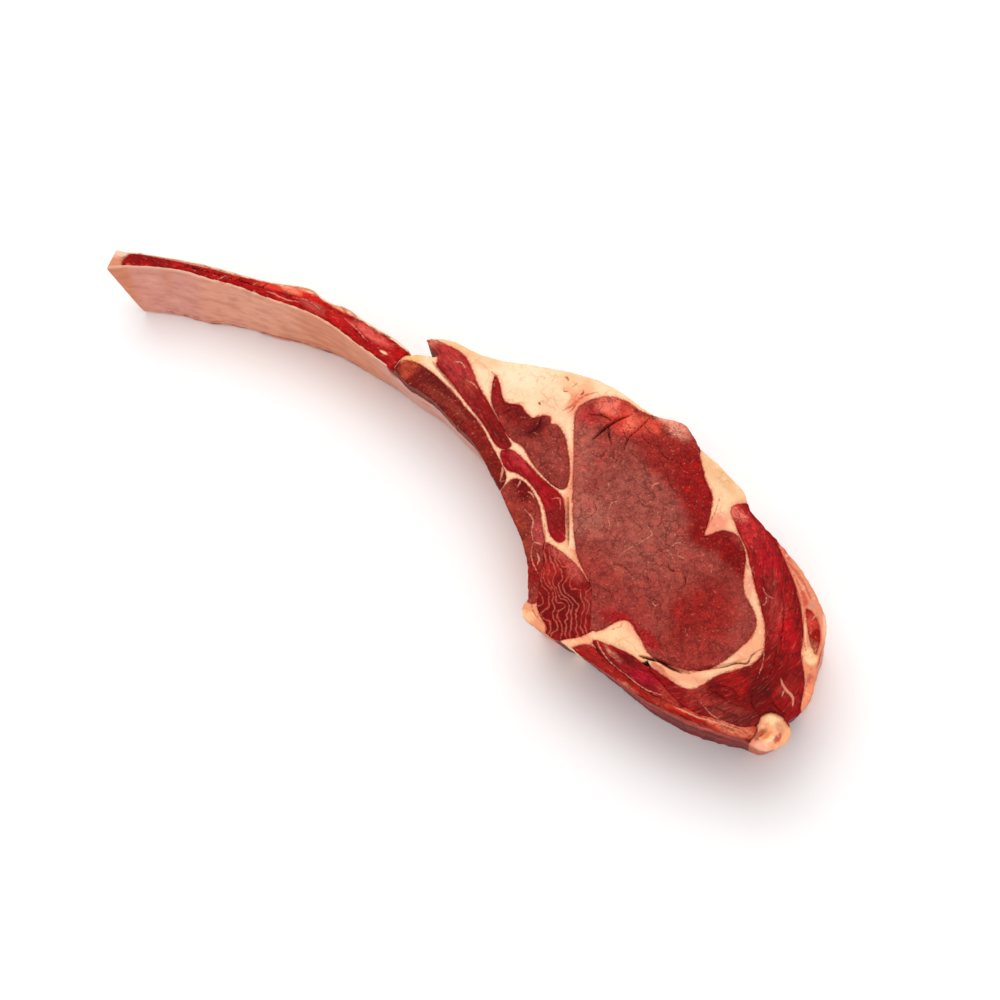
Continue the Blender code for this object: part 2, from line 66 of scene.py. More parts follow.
scene = bpy.context.scene
camera = bpy.data.objects.new("camera", bpy.data.cameras.new("camera"))
camera.data.lens = LENS
camera.data.sensor_width = SENSOR
camera.data.clip_start = 0.05
back = np.array([math.sin(CAMERA_TURN) * math.cos(CAMERA_RISE),
                 -math.cos(CAMERA_TURN) * math.cos(CAMERA_RISE), math.sin(CAMERA_RISE)])
camera.location = (AIM - (*ZERO, 0.0)) * MM + back * CAMERA_FAR
camera.rotation_euler = (math.pi / 2 - CAMERA_RISE, 0.0, CAMERA_TURN)
scene.collection.objects.link(camera)
scene.camera = camera
scene.view_settings.view_transform = "Standard"

for name, place, size, power in (("wide_lamp", (-0.5, 0.35, 1.6), 1.6, 17.0),
                                 ("fill_lamp", (0.9, -0.9, 1.2), 1.2, 4.0)):
    lamp = bpy.data.objects.new(name, bpy.data.lights.new(name, "AREA"))
    lamp.data.size = size
    lamp.data.energy = power
    lamp.location = place
    lamp.rotation_euler = Vector(place).to_track_quat("Z", "Y").to_euler()
    scene.collection.objects.link(lamp)

world = bpy.data.worlds.new("studio")
world.use_nodes = True
world.node_tree.nodes["Background"].inputs["Color"].default_value = (1.0, 1.0, 1.0, 1.0)
world.node_tree.nodes["Background"].inputs["Strength"].default_value = 0.62
scene.world = world

FLOOR_HALF = 1.5
floor_mesh = bpy.data.meshes.new("floor")
floor_mesh.from_pydata([(-FLOOR_HALF, -FLOOR_HALF, 0), (FLOOR_HALF, -FLOOR_HALF, 0),
                        (FLOOR_HALF, FLOOR_HALF, 0), (-FLOOR_HALF, FLOOR_HALF, 0)], [], [(0, 1, 2, 3)])
floor = bpy.data.objects.new("floor", floor_mesh)
floor_paint = bpy.data.materials.new("white_table")
floor_paint.use_nodes = True
floor_shader = floor_paint.node_tree.nodes["Principled BSDF"]
floor_shader.inputs["Base Color"].default_value = (1.0, 1.0, 1.0, 1.0)
floor_shader.inputs["Roughness"].default_value = 0.8
floor_mesh.materials.append(floor_paint)
scene.collection.objects.link(floor)

# The rib. A flat rib bone that stands on its edge, bare to the left of the meat and hidden in it to the
# right. A moist pink membrane covers its hollow near side, and its tip is sawn off at a slant.
LEAN_X = (-190.0, -165.0, -143.0, -110.0, -83.0, -60.0, 55.0, 85.0, 115.0, 150.0, 172.0, 188.0, 202.0, 215.0)
LEAN_Y = (-2.0, -3.5, 0.0, 3.5, 7.5, 10.5, 10.5, 14.5, 14.0, 11.5, 9.8, 10.2, 11.4, 13.4)
RIM_RADIUS = 2.2
SECTION_AT = 42.0                   # just under the soft edge of the top face
RIB_SECTION_AT = 20.0
NECK_X = -51.5                      # here the meat begins to cover the rib


def near_share(flat):
    """1 on the near side, falling to 0.3 on the far side, whose wall leans less and has a smaller edge."""
    return np.interp(flat[:, 1], (-20.0, 50.0), (1.0, 0.3))


def lean(flat, height):
    """How far a point of the slab lies aside: the side's lean to +Y times its depth under the top face.

    At the tail it lies in to -X too, by a share that grows as the square of the way along the tail.
    """
    below = 1 - height / THICK
    along_tail = np.interp(flat[:, 0], (160.0, 214.0), (0.0, 1.0))
    tuck = np.interp(flat[:, 1], (-20.0, 15.0), (6.5, 0.0)) * along_tail ** 2
    return np.stack([-tuck * below, np.interp(flat[:, 0], LEAN_X, LEAN_Y) * below * near_share(flat)], axis=1)


def section(node, height, least=0.7):
    """The loops where a level plane cuts a solid, in mm and stood upright, with flesh on their left.

    Points that lie closer to the one before than the least distance are left out.
    """
    work = bmesh.new()
    work.from_mesh(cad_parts[node].data)
    bmesh.ops.remove_doubles(work, verts=work.verts, dist=1e-6)
    parts = work.verts[:] + work.edges[:] + work.faces[:]
    cut = bmesh.ops.bisect_plane(work, geom=parts, plane_co=(0, 0, height * MM), plane_no=(0, 0, 1))
    after = {}
    for edge in (item for item in cut["geom_cut"] if isinstance(item, bmesh.types.BMEdge)):
        a, b = edge.verts
        wall = max(edge.link_faces, key=lambda face: -abs(face.normal.z)).normal
        way = b.co - a.co
        if way.y * wall.x - way.x * wall.y < 0:
            a, b = b, a
        after[a] = b
    loops = []
    while after:
        start, here = after.popitem()
        loop = [start.co.copy()]
        while here in after:
            loop.append(here.co.copy())
            here = after.pop(here)
        if len(loop) > 5:
            loops.append(np.array(loop)[:, :2] / MM + ZERO)
    work.free()
    for loop in loops:
        loop -= lean(loop, height)
    return [loop[np.linalg.norm(loop - np.roll(loop, 1, axis=0), axis=1) > least] for loop in loops]


def hermite(t, a, b, leave, arrive):
    """The cubic from a to b with the given end tangents, at t from 0 to 1."""
    return ((2 * t**3 - 3 * t**2 + 1) * a + (t**3 - 2 * t**2 + t) * leave
            + (3 * t**2 - 2 * t**3) * b + (t**3 - t**2) * arrive)


def lattice(cell, seed):
    """A random number from 0 to 1 for each whole-numbered place, the same one each time."""
    with np.errstate(over="ignore"):
        code = cell.astype(np.int64) @ np.array([374761393, 668265263, 1274126177])[:cell.shape[1]]
        code = code + seed * 974634777
        code = (code ^ (code >> 13)) * 1274126177
    return ((code ^ (code >> 16)) & 0xFFFFFF) / 0xFFFFFF


def clouds(points, size, seed, octaves=2):
    """Smooth noise from about -1 to 1: lattice values blended by a fifth-degree step, in octaves."""
    total, weight, weights = 0.0, 1.0, 0.0
    for octave in range(octaves):
        spot = points / size * 2**octave + 31.7 * octave
        low = np.floor(spot)
        part = spot - low
        part = part**3 * (part * (part * 6 - 15) + 10)
        value = 0.0
        for corner in range(2 ** points.shape[1]):
            offset = np.array([(corner >> axis) & 1 for axis in range(points.shape[1])])
            share = np.prod(np.where(offset, part, 1 - part), axis=1)
            value = value + share * lattice(low + offset, seed + octave)
        total = total + weight * (value * 2 - 1)
        weights += weight
        weight *= 0.5
    return total / weights


def step_up(low, high, value):
    """0 at low, 1 at high and beyond, and a smooth S between."""
    t = np.clip((value - low) / (high - low), 0, 1)
    return t * t * (3 - 2 * t)


def rim_give(height):
    """How far the soft edge draws in at a height: a quarter round at the top face and the underside."""
    depth = np.clip(1 - np.minimum(height, THICK - height) / RIM_RADIUS, 0, 1)
    return RIM_RADIUS * (1 - np.sqrt(1 - depth**2 * 0.98))


def linear(*shade):
    """A colour given as 0 to 255 on screen, as the three linear values of a shader."""
    channel = np.array(shade) / 255
    return np.where(channel > 0.04045, ((channel + 0.055) / 1.055) ** 2.4, channel / 12.92)


def opaque(*shade):
    """A colour given as 0 to 255 on screen, as the four values of a colour socket."""
    return *linear(*shade), 1.0


def tinted(flat, base, blots, shift=2.5):
    """The base colour with soft blots on it.

    A blot is an ellipse: its middle, its reach along and across, its turn in degrees, and its colour.
    Its share falls off over its outer part, and noise first moves the place by up to the shift.
    """
    spot = flat[:, :2] + shift * np.stack([clouds(flat[:, :2], 8.0, seed) for seed in (61, 70)], 1)
    colour = np.tile(linear(*base), (len(flat), 1))
    for x, y, along, across, turn, shade in blots:
        c, s = math.cos(math.radians(turn)), math.sin(math.radians(turn))
        far = np.hypot(((spot[:, 0] - x) * c + (spot[:, 1] - y) * s) / along,
                       ((spot[:, 1] - y) * c - (spot[:, 0] - x) * s) / across)
        colour += step_up(1.3, 0.5, far)[:, None] * (linear(*shade) - colour)
    return colour


def mesh_piece(name, points, faces, values, paint, nodes):
    """Makes a piece from points in mm and its faces, with its attributes, and ties it to the frame."""
    mesh = bpy.data.meshes.new(name)
    place = points.copy()
    place[:, :2] -= ZERO
    place = np.clip(place * MM, np.array(cad_box[0]), np.array(cad_box[1]))
    mesh.vertices.add(len(points))
    mesh.vertices.foreach_set("co", place.ravel())
    corners = np.concatenate([group.ravel() for group in faces])
    sides = np.concatenate([np.full(len(group), group.shape[1]) for group in faces])
    mesh.loops.add(len(corners))
    mesh.loops.foreach_set("vertex_index", corners.astype(np.int32))
    mesh.polygons.add(len(sides))
    mesh.polygons.foreach_set("loop_start", (np.cumsum(sides) - sides).astype(np.int32))
    mesh.update(calc_edges=True)
    mesh.validate()
    for key, value in values.items():
        kind, part = {1: ("FLOAT", "value"), 2: ("FLOAT_VECTOR", "vector")}[value.ndim]
        if key == "tint":
            kind, part = "FLOAT_COLOR", "color"
            value = np.column_stack([value, np.ones(len(value))])
        mesh.attributes.new(key, kind, "POINT").data.foreach_set(part, value.astype(np.float32).ravel())
    mesh.shade_smooth()
    mesh.materials.append(paint)
    piece = bpy.data.objects.new(name, mesh)
    scene.collection.objects.link(piece)
    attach(piece, "root")
    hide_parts(*nodes)


def add(tree, kind, settings, **inputs):
    """A shader node with its settings, and its inputs set or linked; _0 is the first input, and so on."""
    made = tree.nodes.new("ShaderNode" + kind)
    for key, value in settings.items():
        setattr(made, key, value)
    for key, value in inputs.items():
        socket = made.inputs[int(key[1:])] if key[0] == "_" else made.inputs[key.replace("_", " ")]
        if isinstance(value, bpy.types.NodeSocket):
            tree.links.new(value, socket)
        else:
            socket.default_value = value
    return made


def noise(tree, place, scale, detail=2.0, rough=0.5, bend=0.0):
    """A noise texture's value, from 0 to 1."""
    return add(tree, "TexNoise", {}, Vector=place, Scale=scale, Detail=detail, Roughness=rough,
               Distortion=bend).outputs["Fac"]


def ramp(tree, value, low, high, to_low=0.0, to_high=1.0):
    """A smooth change from to_low to to_high as the value goes from low to high."""
    return add(tree, "MapRange", {"interpolation_type": "SMOOTHSTEP"}, _0=value, _1=low, _2=high,
               _3=to_low, _4=to_high).outputs["Result"]


def maths(tree, operation, a, b):
    """A Math node's result for two values."""
    return add(tree, "Math", {"operation": operation}, _0=a, _1=b).outputs[0]


def mix(tree, share, a, b, blend="MIX"):
    """Two colours mixed by a share."""
    return add(tree, "Mix", {"data_type": "RGBA", "blend_type": blend}, _0=share, _6=a, _7=b).outputs[2]


def stretch(tree, place, *factors):
    """Coordinates times a factor on each axis: a small factor draws a pattern out along that axis."""
    return add(tree, "VectorMath", {"operation": "MULTIPLY"}, _0=place, _1=factors).outputs[0]


def read(tree, name, output="Fac"):
    """An attribute of the piece."""
    return add(tree, "Attribute", {"attribute_name": name}).outputs[output]


def new_group(name, inputs, outputs):
    """An empty shader group with named sockets: its tree, its input node and its output node."""
    tree = bpy.data.node_groups.new(name, "ShaderNodeTree")
    for label, kind in inputs:
        tree.interface.new_socket(label, in_out="INPUT", socket_type="NodeSocket" + kind)
    for label, kind in outputs:
        tree.interface.new_socket(label, in_out="OUTPUT", socket_type="NodeSocket" + kind)
    return tree, tree.nodes.new("NodeGroupInput").outputs, tree.nodes.new("NodeGroupOutput").inputs


def place_group(tree, group, **inputs):
    """The outputs of a group that is placed in a material, with its inputs set or linked."""
    return add(tree, "Group", {"node_tree": group}, **inputs).outputs


def moist(name, roughness, bleed, radius, shine=0.12):
    """A Principled material for moist flesh; returns the material, its tree and the shader's inputs."""
    paint = bpy.data.materials.new(name)
    paint.use_nodes = True
    shader = paint.node_tree.nodes["Principled BSDF"].inputs
    shader["Roughness"].default_value = roughness
    shader["Subsurface Weight"].default_value = bleed
    shader["Subsurface Radius"].default_value = radius
    shader["Subsurface Scale"].default_value = MM
    shader["Specular IOR Level"].default_value = shine
    return paint, paint.node_tree, shader


def bumped(tree, shader, height, distance):
    """Feeds a height through a Bump node into the shader."""
    made = add(tree, "Bump", {}, Strength=0.6, Distance=distance, Height=height)
    tree.links.new(made.outputs[0], shader["Normal"])


def membrane_material():
    """The membrane: fine streaks along the rib, soft patches, red remains where the mask asks for them."""
    paint, tree, shader = moist("rib_membrane", 0.42, 0.25, (3.0, 1.4, 0.9))
    along = read(tree, "grain", "Vector")
    streak = noise(tree, stretch(tree, along, 0.07, 0.3, 0.3), 1.0, 3.0, 0.5, 0.4)
    patch = noise(tree, stretch(tree, along, 0.1, 0.22, 0.22), 1.0, 3.0, 0.55)
    grain = noise(tree, along, 1.6, 3.0, 0.6)
    colour = read(tree, "tint", "Color")
    colour = mix(tree, ramp(tree, patch, 0.46, 0.66, 0.0, 0.45), colour, opaque(190, 116, 100))
    colour = mix(tree, ramp(tree, patch, 0.44, 0.3, 0.0, 0.45), colour, opaque(240, 176, 148))
    colour = mix(tree, ramp(tree, streak, 0.6, 0.74, 0.0, 0.3), colour, opaque(176, 80, 62))
    spots = ramp(tree, noise(tree, stretch(tree, along, 0.12, 0.4, 0.4), 1.0, 3.0, 0.6), 0.5, 0.6)
    red = maths(tree, "MULTIPLY", spots, read(tree, "remains"))
    colour = mix(tree, red, colour, opaque(142, 34, 24))
    colour = mix(tree, ramp(tree, grain, 0.3, 0.7, 0.0, 0.14), colour, opaque(150, 88, 72))
    tree.links.new(colour, shader["Base Color"])
    tree.links.new(ramp(tree, streak, 0.3, 0.7, 0.3, 0.52), shader["Roughness"])
    height = maths(tree, "ADD", maths(tree, "MULTIPLY", streak, 0.6), maths(tree, "MULTIPLY", grain, 0.12))
    bumped(tree, shader, height, 0.0006)
    return paint


def nearest(points, targets, chunk=4000):
    """Each point's distance to the nearest target, and that target's number."""
    far, which = np.empty(len(points)), np.empty(len(points), int)
    square = np.sum(targets**2, axis=1)
    for start in range(0, len(points), chunk):
        part = points[start:start + chunk]
        gap = square - 2 * part @ targets.T
        pick = np.argmin(gap, axis=1)
        gap = gap[np.arange(len(part)), pick] + np.sum(part**2, axis=1)
        far[start:start + chunk] = np.sqrt(np.maximum(gap, 0))
        which[start:start + chunk] = pick
    return far, which


def chain(loop, first, last, count, blur=11):
    """A side of the rib: the loop's run from one corner to the other, evenly spaced and smoothed.

    The corners are the loop's points nearest to the two given spots.
    """
    start, end = (int(np.argmin(np.linalg.norm(loop - spot, axis=1))) for spot in (first, last))
    side = np.roll(loop, -start, axis=0)[:(end - start) % len(loop) + 1]
    length = np.concatenate([[0], np.cumsum(np.linalg.norm(np.diff(side, axis=0), axis=1))])
    even = np.linspace(0, length[-1], count)
    side = np.stack([np.interp(even, length, side[:, axis]) for axis in (0, 1)], axis=1)
    kernel = np.hanning(blur + 2)[1:-1] / np.hanning(blur + 2).sum()
    padded = np.pad(side, ((blur // 2, blur // 2), (0, 0)), mode="reflect", reflect_type="odd")
    return np.stack([np.convolve(padded[:, axis], kernel, "valid") for axis in (0, 1)], axis=1)


def build_rib():
    """The rib as a profile carried along its path.

    The path's two sides are the near and the far side of the solid's section. At each station the
    profile goes up the near side, across the top, down the far side and back underneath. The saw cut
    moves a station near the tip along the path by its height. The top sinks where the meat lies in it.
    """
    stations, up, over = 620, 50, 28
    tip_run, tip_cut, trough_depth = 30.0, 15.0, 6.2
    bare_top, drop_at_neck = 44.6, 11.9
    across_top = 60.0               # how wide the top counts for the patterns, in mm
    loop = max(section("rib_bone", RIB_SECTION_AT), key=len)
    near = chain(loop, (-192.6, -53.5), (74.0, -56.8), stations)
    far = chain(loop, (80.0, -54.0), (-196.0, -43.5), stations)[::-1]
    across = far - near
    width = np.linalg.norm(across, axis=1)
    across /= width[:, None]
    along = np.concatenate([[0], np.cumsum(np.linalg.norm(np.diff(near, axis=0), axis=1))])
    top = bare_top - drop_at_neck * step_up(NECK_X - 1.1, NECK_X - 0.4, (near[:, 0] + far[:, 0]) / 2)
    rise = np.sin(np.linspace(0, 1, up) * math.pi / 2) ** 2
    shares = np.linspace(0, 1, over + 2)[1:-1]
    side = np.concatenate([np.zeros(up), shares, np.ones(up), shares[::-1]])
    lift = np.concatenate([rise, np.ones(over), rise[::-1], np.zeros(over)])
    count = len(side)
    side = np.tile(side, (stations, 1))
    height = top[:, None] * lift
    spot = np.stack([np.repeat(along, count), (height + across_top * side).ravel()], axis=1)
    wrinkle = clouds(spot * (0.25, 1.0), 3.2, 11, 3).reshape(side.shape) * 0.5 + 0.5
    ragged = clouds(spot * (1.0, 0.3), 7.0, 12, 3).reshape(side.shape) * 0.5 + 0.5
    low_edge = step_up(9.0, 1.0, height)
    give = rim_give(height + (THICK - top)[:, None] * (height > 10)) * 0.6
    give += 0.3 * wrinkle + 1.3 * ragged * low_edge
    inset = np.where(side <= 0.5, give, -give) * (np.abs(side - 0.5) * 2) ** 3
    flat = near[:, None] + across[:, None] * (side * width[:, None] + inset)[..., None]
    way = np.gradient(near, axis=0)
    way /= np.linalg.norm(way, axis=1)[:, None]
    cut = np.clip(1 - along / tip_run, 0, 1)[:, None] * tip_cut * (height - RIB_SECTION_AT) / THICK
    flat = (flat - way[:, None] * cut[..., None]).reshape(-1, 2)
    z = (height - 0.3 * (1 - wrinkle) * (lift == 1)).ravel()
    trough = max(section("rib_meat", SECTION_AT), key=len)
    distance, which = nearest(flat, trough)
    ahead, away = (np.roll(trough, -1, axis=0) - np.roll(trough, 1, axis=0))[which], flat - trough[which]
    sunk = step_up(-1.3, -0.2, np.sign(ahead[:, 0] * away[:, 1] - ahead[:, 1] * away[:, 0]) * distance)
    z = z - trough_depth * sunk * (np.tile(lift, stations) == 1) * (z > 40)
    flat += lean(flat, z)
    points = np.column_stack([flat, z])
    index = np.arange(stations * count).reshape(stations, count)
    a, b = index[:-1], index[1:]
    walls = np.stack([a, b, np.roll(b, -1, axis=1), np.roll(a, -1, axis=1)], axis=-1).reshape(-1, 4)
    ends = []
    for ring, turn in ((index[0], 1), (index[-1], -1)):
        ends.append(np.stack([ring, np.roll(ring, -1), np.full(count, len(points))], axis=1)[:, ::turn])
        points = np.vstack([points, points[ring].mean(axis=0)])

    def spread(values):
        """Values over the grid as one list, with zeros for the two points in the ends."""
        values = np.broadcast_to(values, side.shape).ravel()
        return np.concatenate([values, np.zeros(len(points) - len(values))])

    x = near[:, :1]
    tint = tinted(points, (220, 138, 100), [
        (-172, -42, 24, 6, 27, (224, 152, 136)), (-134, -26, 30, 7, 20, (232, 160, 132)),
        (-25, -14, 40, 16, 0, (216, 160, 146)), (20, -20, 40, 16, 0, (208, 150, 132)),
        (-200, -45, 5, 5, 0, (252, 216, 184)), (-196, -50, 4, 3, 30, (206, 100, 88))], 4.0)
    pale_edge = spread(step_up(0.5, 0.8, side) * step_up(40.0, 43.0, height))[:, None]
    pale_edge += 0.5 * spread(step_up(0.2, 0.05, side) * step_up(43.0, 44.4, height))[:, None]
    tint += pale_edge * (linear(255, 214, 182) - tint)
    remains = low_edge * 0.9 * step_up(-185.0, -175.0, x) * step_up(-45.0, -60.0, x)
    grain = np.column_stack([spread(along[:, None]), spread(height), spread(across_top * side)])
    mesh_piece("rib", points, [walls] + ends, {"tint": tint, "remains": spread(remains), "grain": grain},
               membrane_material(), ["rib_bone"])


build_rib()

# The strip of meat on the rib. Red lumps with pale fibres between them, left in the bone's top edge when
# it was scraped, from the tip to the neck. It is the first of the pieces that are cut from the slab.
RIM_REACH = 8.0                     # how far in from the free edge the soft edge pulls the face
RIM_FROM = 1.3                      # a piece's edge is free where its neighbours are further than this
OFF_LINE = -3.0                     # the depth in a line of a point that is far from it
DEEP_IN = 5.0                       # the distance from the edge that counts as far
STRAY, STRAY_SIZE = 0.32, 2.6       # how far noise moves a piece's outline, and how large its waves are
GRAIN_DEPTH, GRAIN_SIZE = 0.09, 1.5
VEIN_RISE, CRACK_DEPTH = 0.12, 0.5
UNDER_SPACING = 4.0                 # between the points of the underside
CREVICES = (([(49.5, 23), (50, 31), (51.5, 38), (55.5, 46)], 0.7, 2.4),
            ([(40, 33), (45, 36.5), (50, 37)], 0.6, 1.2),
            ([(50.5, 34), (54, 30), (58, 27)], 0.4, 0.8),
            ([(63.5, 50), (63, 42), (62.5, 34), (65, 28)], 0.4, 0.7),
            ([(137, -50.5), (141, -49), (146, -46.5), (153, -45.5), (160, -42.5)], 0.7, 2.6),
            ([(160, -42.5), (166, -34), (171, -28), (176, -20)], 0.4, 1.2),
            ([(60, -9), (65, -15.5), (70, -21.5), (76, -28.5)], 0.7, 2.6),
            ([(-38, 5.5), (-30, 3.8), (-20, 1)], 0.8, 2.6))


def curved(loop, step, corner=50.0):
    """A smooth closed curve through the loop's points, at about even steps; sharp corners stay sharp.

    Each span is a cubic. Its end tangents lie between the directions of the two spans that meet there,
    or, at a corner, along the span itself.
    """
    ahead = np.roll(loop, -1, axis=0) - loop
    length = np.linalg.norm(ahead, axis=1)
    way = ahead / length[:, None]
    way_in = np.roll(way, 1, axis=0)
    tangent = way * np.roll(length, 1)[:, None] + way_in * length[:, None]
    tangent /= np.maximum(np.linalg.norm(tangent, axis=1), 1e-9)[:, None]
    sharp = (np.sum(way * way_in, axis=1) < math.cos(math.radians(corner)))[:, None]
    leave = np.where(sharp, way, tangent) * length[:, None]
    arrive = np.roll(np.where(sharp, way_in, tangent), -1, axis=0) * length[:, None]
    count = np.maximum(np.round(length / step), 1).astype(int)
    span = np.repeat(np.arange(len(loop)), count)
    t = ((np.arange(count.sum()) - np.repeat(np.cumsum(count) - count, count)) / count[span])[:, None]
    return hermite(t, loop[span], np.roll(loop, -1, axis=0)[span], leave[span], arrive[span])


def drawn(line, step=0.3):
    """A smooth open curve through the points: cubics whose tangents lie between the neighbours."""
    line = np.array(line, dtype=float)
    length = np.concatenate([[0], np.cumsum(np.linalg.norm(np.diff(line, axis=0), axis=1))])
    tangent = np.gradient(line, length, axis=0)
    at = np.linspace(0, length[-1], max(int(length[-1] / step), 3))
    span = np.clip(np.searchsorted(length, at, side="right") - 1, 0, len(line) - 2)
    size = (length[span + 1] - length[span])[:, None]
    t = (at - length[span])[:, None] / size
    return hermite(t, line[span], line[span + 1], tangent[span] * size, tangent[span + 1] * size)


def in_lines(flat, lines):
    """How deep a point lies in the nearest of some lines that taper at both ends, in mm.

    It is the line's half width there minus the distance to it, and no less than off the line.
    """
    if callable(lines) or not lines:
        return lines(flat) if lines else np.full(len(flat), OFF_LINE)
    paths = [drawn(line) for line, half in lines]
    halves = [half * np.sin(np.linspace(0.03, 0.97, len(path)) * math.pi) ** 0.6
              for path, (line, half) in zip(paths, lines)]
    distance, which = nearest(flat, np.concatenate(paths))
    return np.maximum(np.concatenate(halves)[which] - distance, OFF_LINE)


def leftward(loop):
    """The unit direction to the left of the loop at each of its points, which is into the flesh."""
    ahead = np.roll(loop, -2, axis=0) - np.roll(loop, 2, axis=0)
    return np.stack([-ahead[:, 1], ahead[:, 0]], axis=1) / np.linalg.norm(ahead, axis=1)[:, None]


def edges_of(node, height):
    """The loops round a piece at a height. The cleft in the eye isn't one of them."""
    loops = section(node, height)
    return [max(loops, key=len)] if node == "eye_muscle" else loops


outlines = {node: [curved(loop, 0.6) for loop in edges_of(node, SECTION_AT)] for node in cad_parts}
meat_edges = np.concatenate([loop for node in outlines if "fat" not in node for loop in outlines[node]])
rim, rim_inward = [], []
for node, loops in outlines.items():
    others = np.concatenate([loop for other in outlines for loop in outlines[other] if other != node])
    for loop in loops:
        free = nearest(loop, others)[0] > RIM_FROM
        rim.append(loop[free])
        rim_inward.append(leftward(loop)[free])
rim, rim_inward = np.concatenate(rim), np.concatenate(rim_inward)


def settled(points, soft):
    """Points of the upright slab as they lie in the steak: drawn in at its free edge, and leaning.

    The soft share is how much of the free edge's own unevenness a point takes.
    """
    distance, which = nearest(points[:, :2], rim)
    fade = np.clip(1 - np.maximum(distance - RIM_FROM, 0) / RIM_REACH, 0, 1) ** 2
    uneven = 0.5 + 0.5 * clouds(points * (1.0, 1.0, 0.7), 7.0, 21, 3)
    give = rim_give(points[:, 2]) * near_share(points) + soft * 0.9 * uneven
    flat = points[:, :2] + rim_inward[which] * (give * fade)[:, None]
    flat += lean(flat, points[:, 2])
    return np.column_stack([flat, points[:, 2]])


def filled(loops, spacing):
    """Points in rows between the loops, every other row shifted by half a step, each nudged a little.

    A place is inside where its row crosses the loops an odd number of times on its left.
    """
    edges = np.concatenate([np.hstack([loop, np.roll(loop, -1, axis=0)]) for loop in loops])
    low, high = edges[:, :2].min(axis=0), edges[:, :2].max(axis=0)
    rows = []
    for number, y in enumerate(np.arange(low[1] + spacing / 2, high[1], spacing * 0.866)):
        x0, y0, x1, y1 = edges[(edges[:, 1] <= y) != (edges[:, 3] <= y)].T
        crossing = np.sort(x0 + (y - y0) / (y1 - y0) * (x1 - x0))
        x = np.arange(low[0], high[0], spacing) + number % 2 * spacing / 2
        x = x[np.searchsorted(crossing, x) % 2 == 1]
        rows.append(np.column_stack([x, np.full(len(x), y)]))
    inner = np.concatenate(rows)
    nudge = np.stack([lattice(np.round(inner / spacing * 4), seed) for seed in (5, 6)], 1) - 0.5
    inner += nudge * spacing * 0.3
    return inner[nearest(inner, np.concatenate(loops))[0] > spacing * 0.62]


def triangled(loops, inner):
    """A flat net of triangles over the loops' inside: its points and faces, and where the loops' went."""
    outline = np.concatenate(loops)
    starts = np.cumsum([0] + [len(loop) for loop in loops])
    edges = np.concatenate([np.stack([np.arange(a, b), np.roll(np.arange(a, b), -1)], 1)
                            for a, b in zip(starts[:-1], starts[1:])])
    every = np.vstack([outline, inner])
    net = delaunay_2d_cdt(every.tolist(), edges.tolist(), [], 2, 1e-5)
    points, faces = np.array(net[0]), np.array(net[2])
    came_from = np.concatenate([np.array(group, int) for group in net[3]])
    went = np.zeros(len(every), int)
    went[came_from] = np.repeat(np.arange(len(points)), np.fromiter(map(len, net[3]), int))
    a, b, c = (points[faces[:, corner]] for corner in range(3))
    upside_down = (b - a)[:, 0] * (c - a)[:, 1] - (b - a)[:, 1] * (c - a)[:, 0] < 0
    faces[upside_down] = faces[upside_down][:, ::-1]
    return points, faces, went[:len(outline)], edges


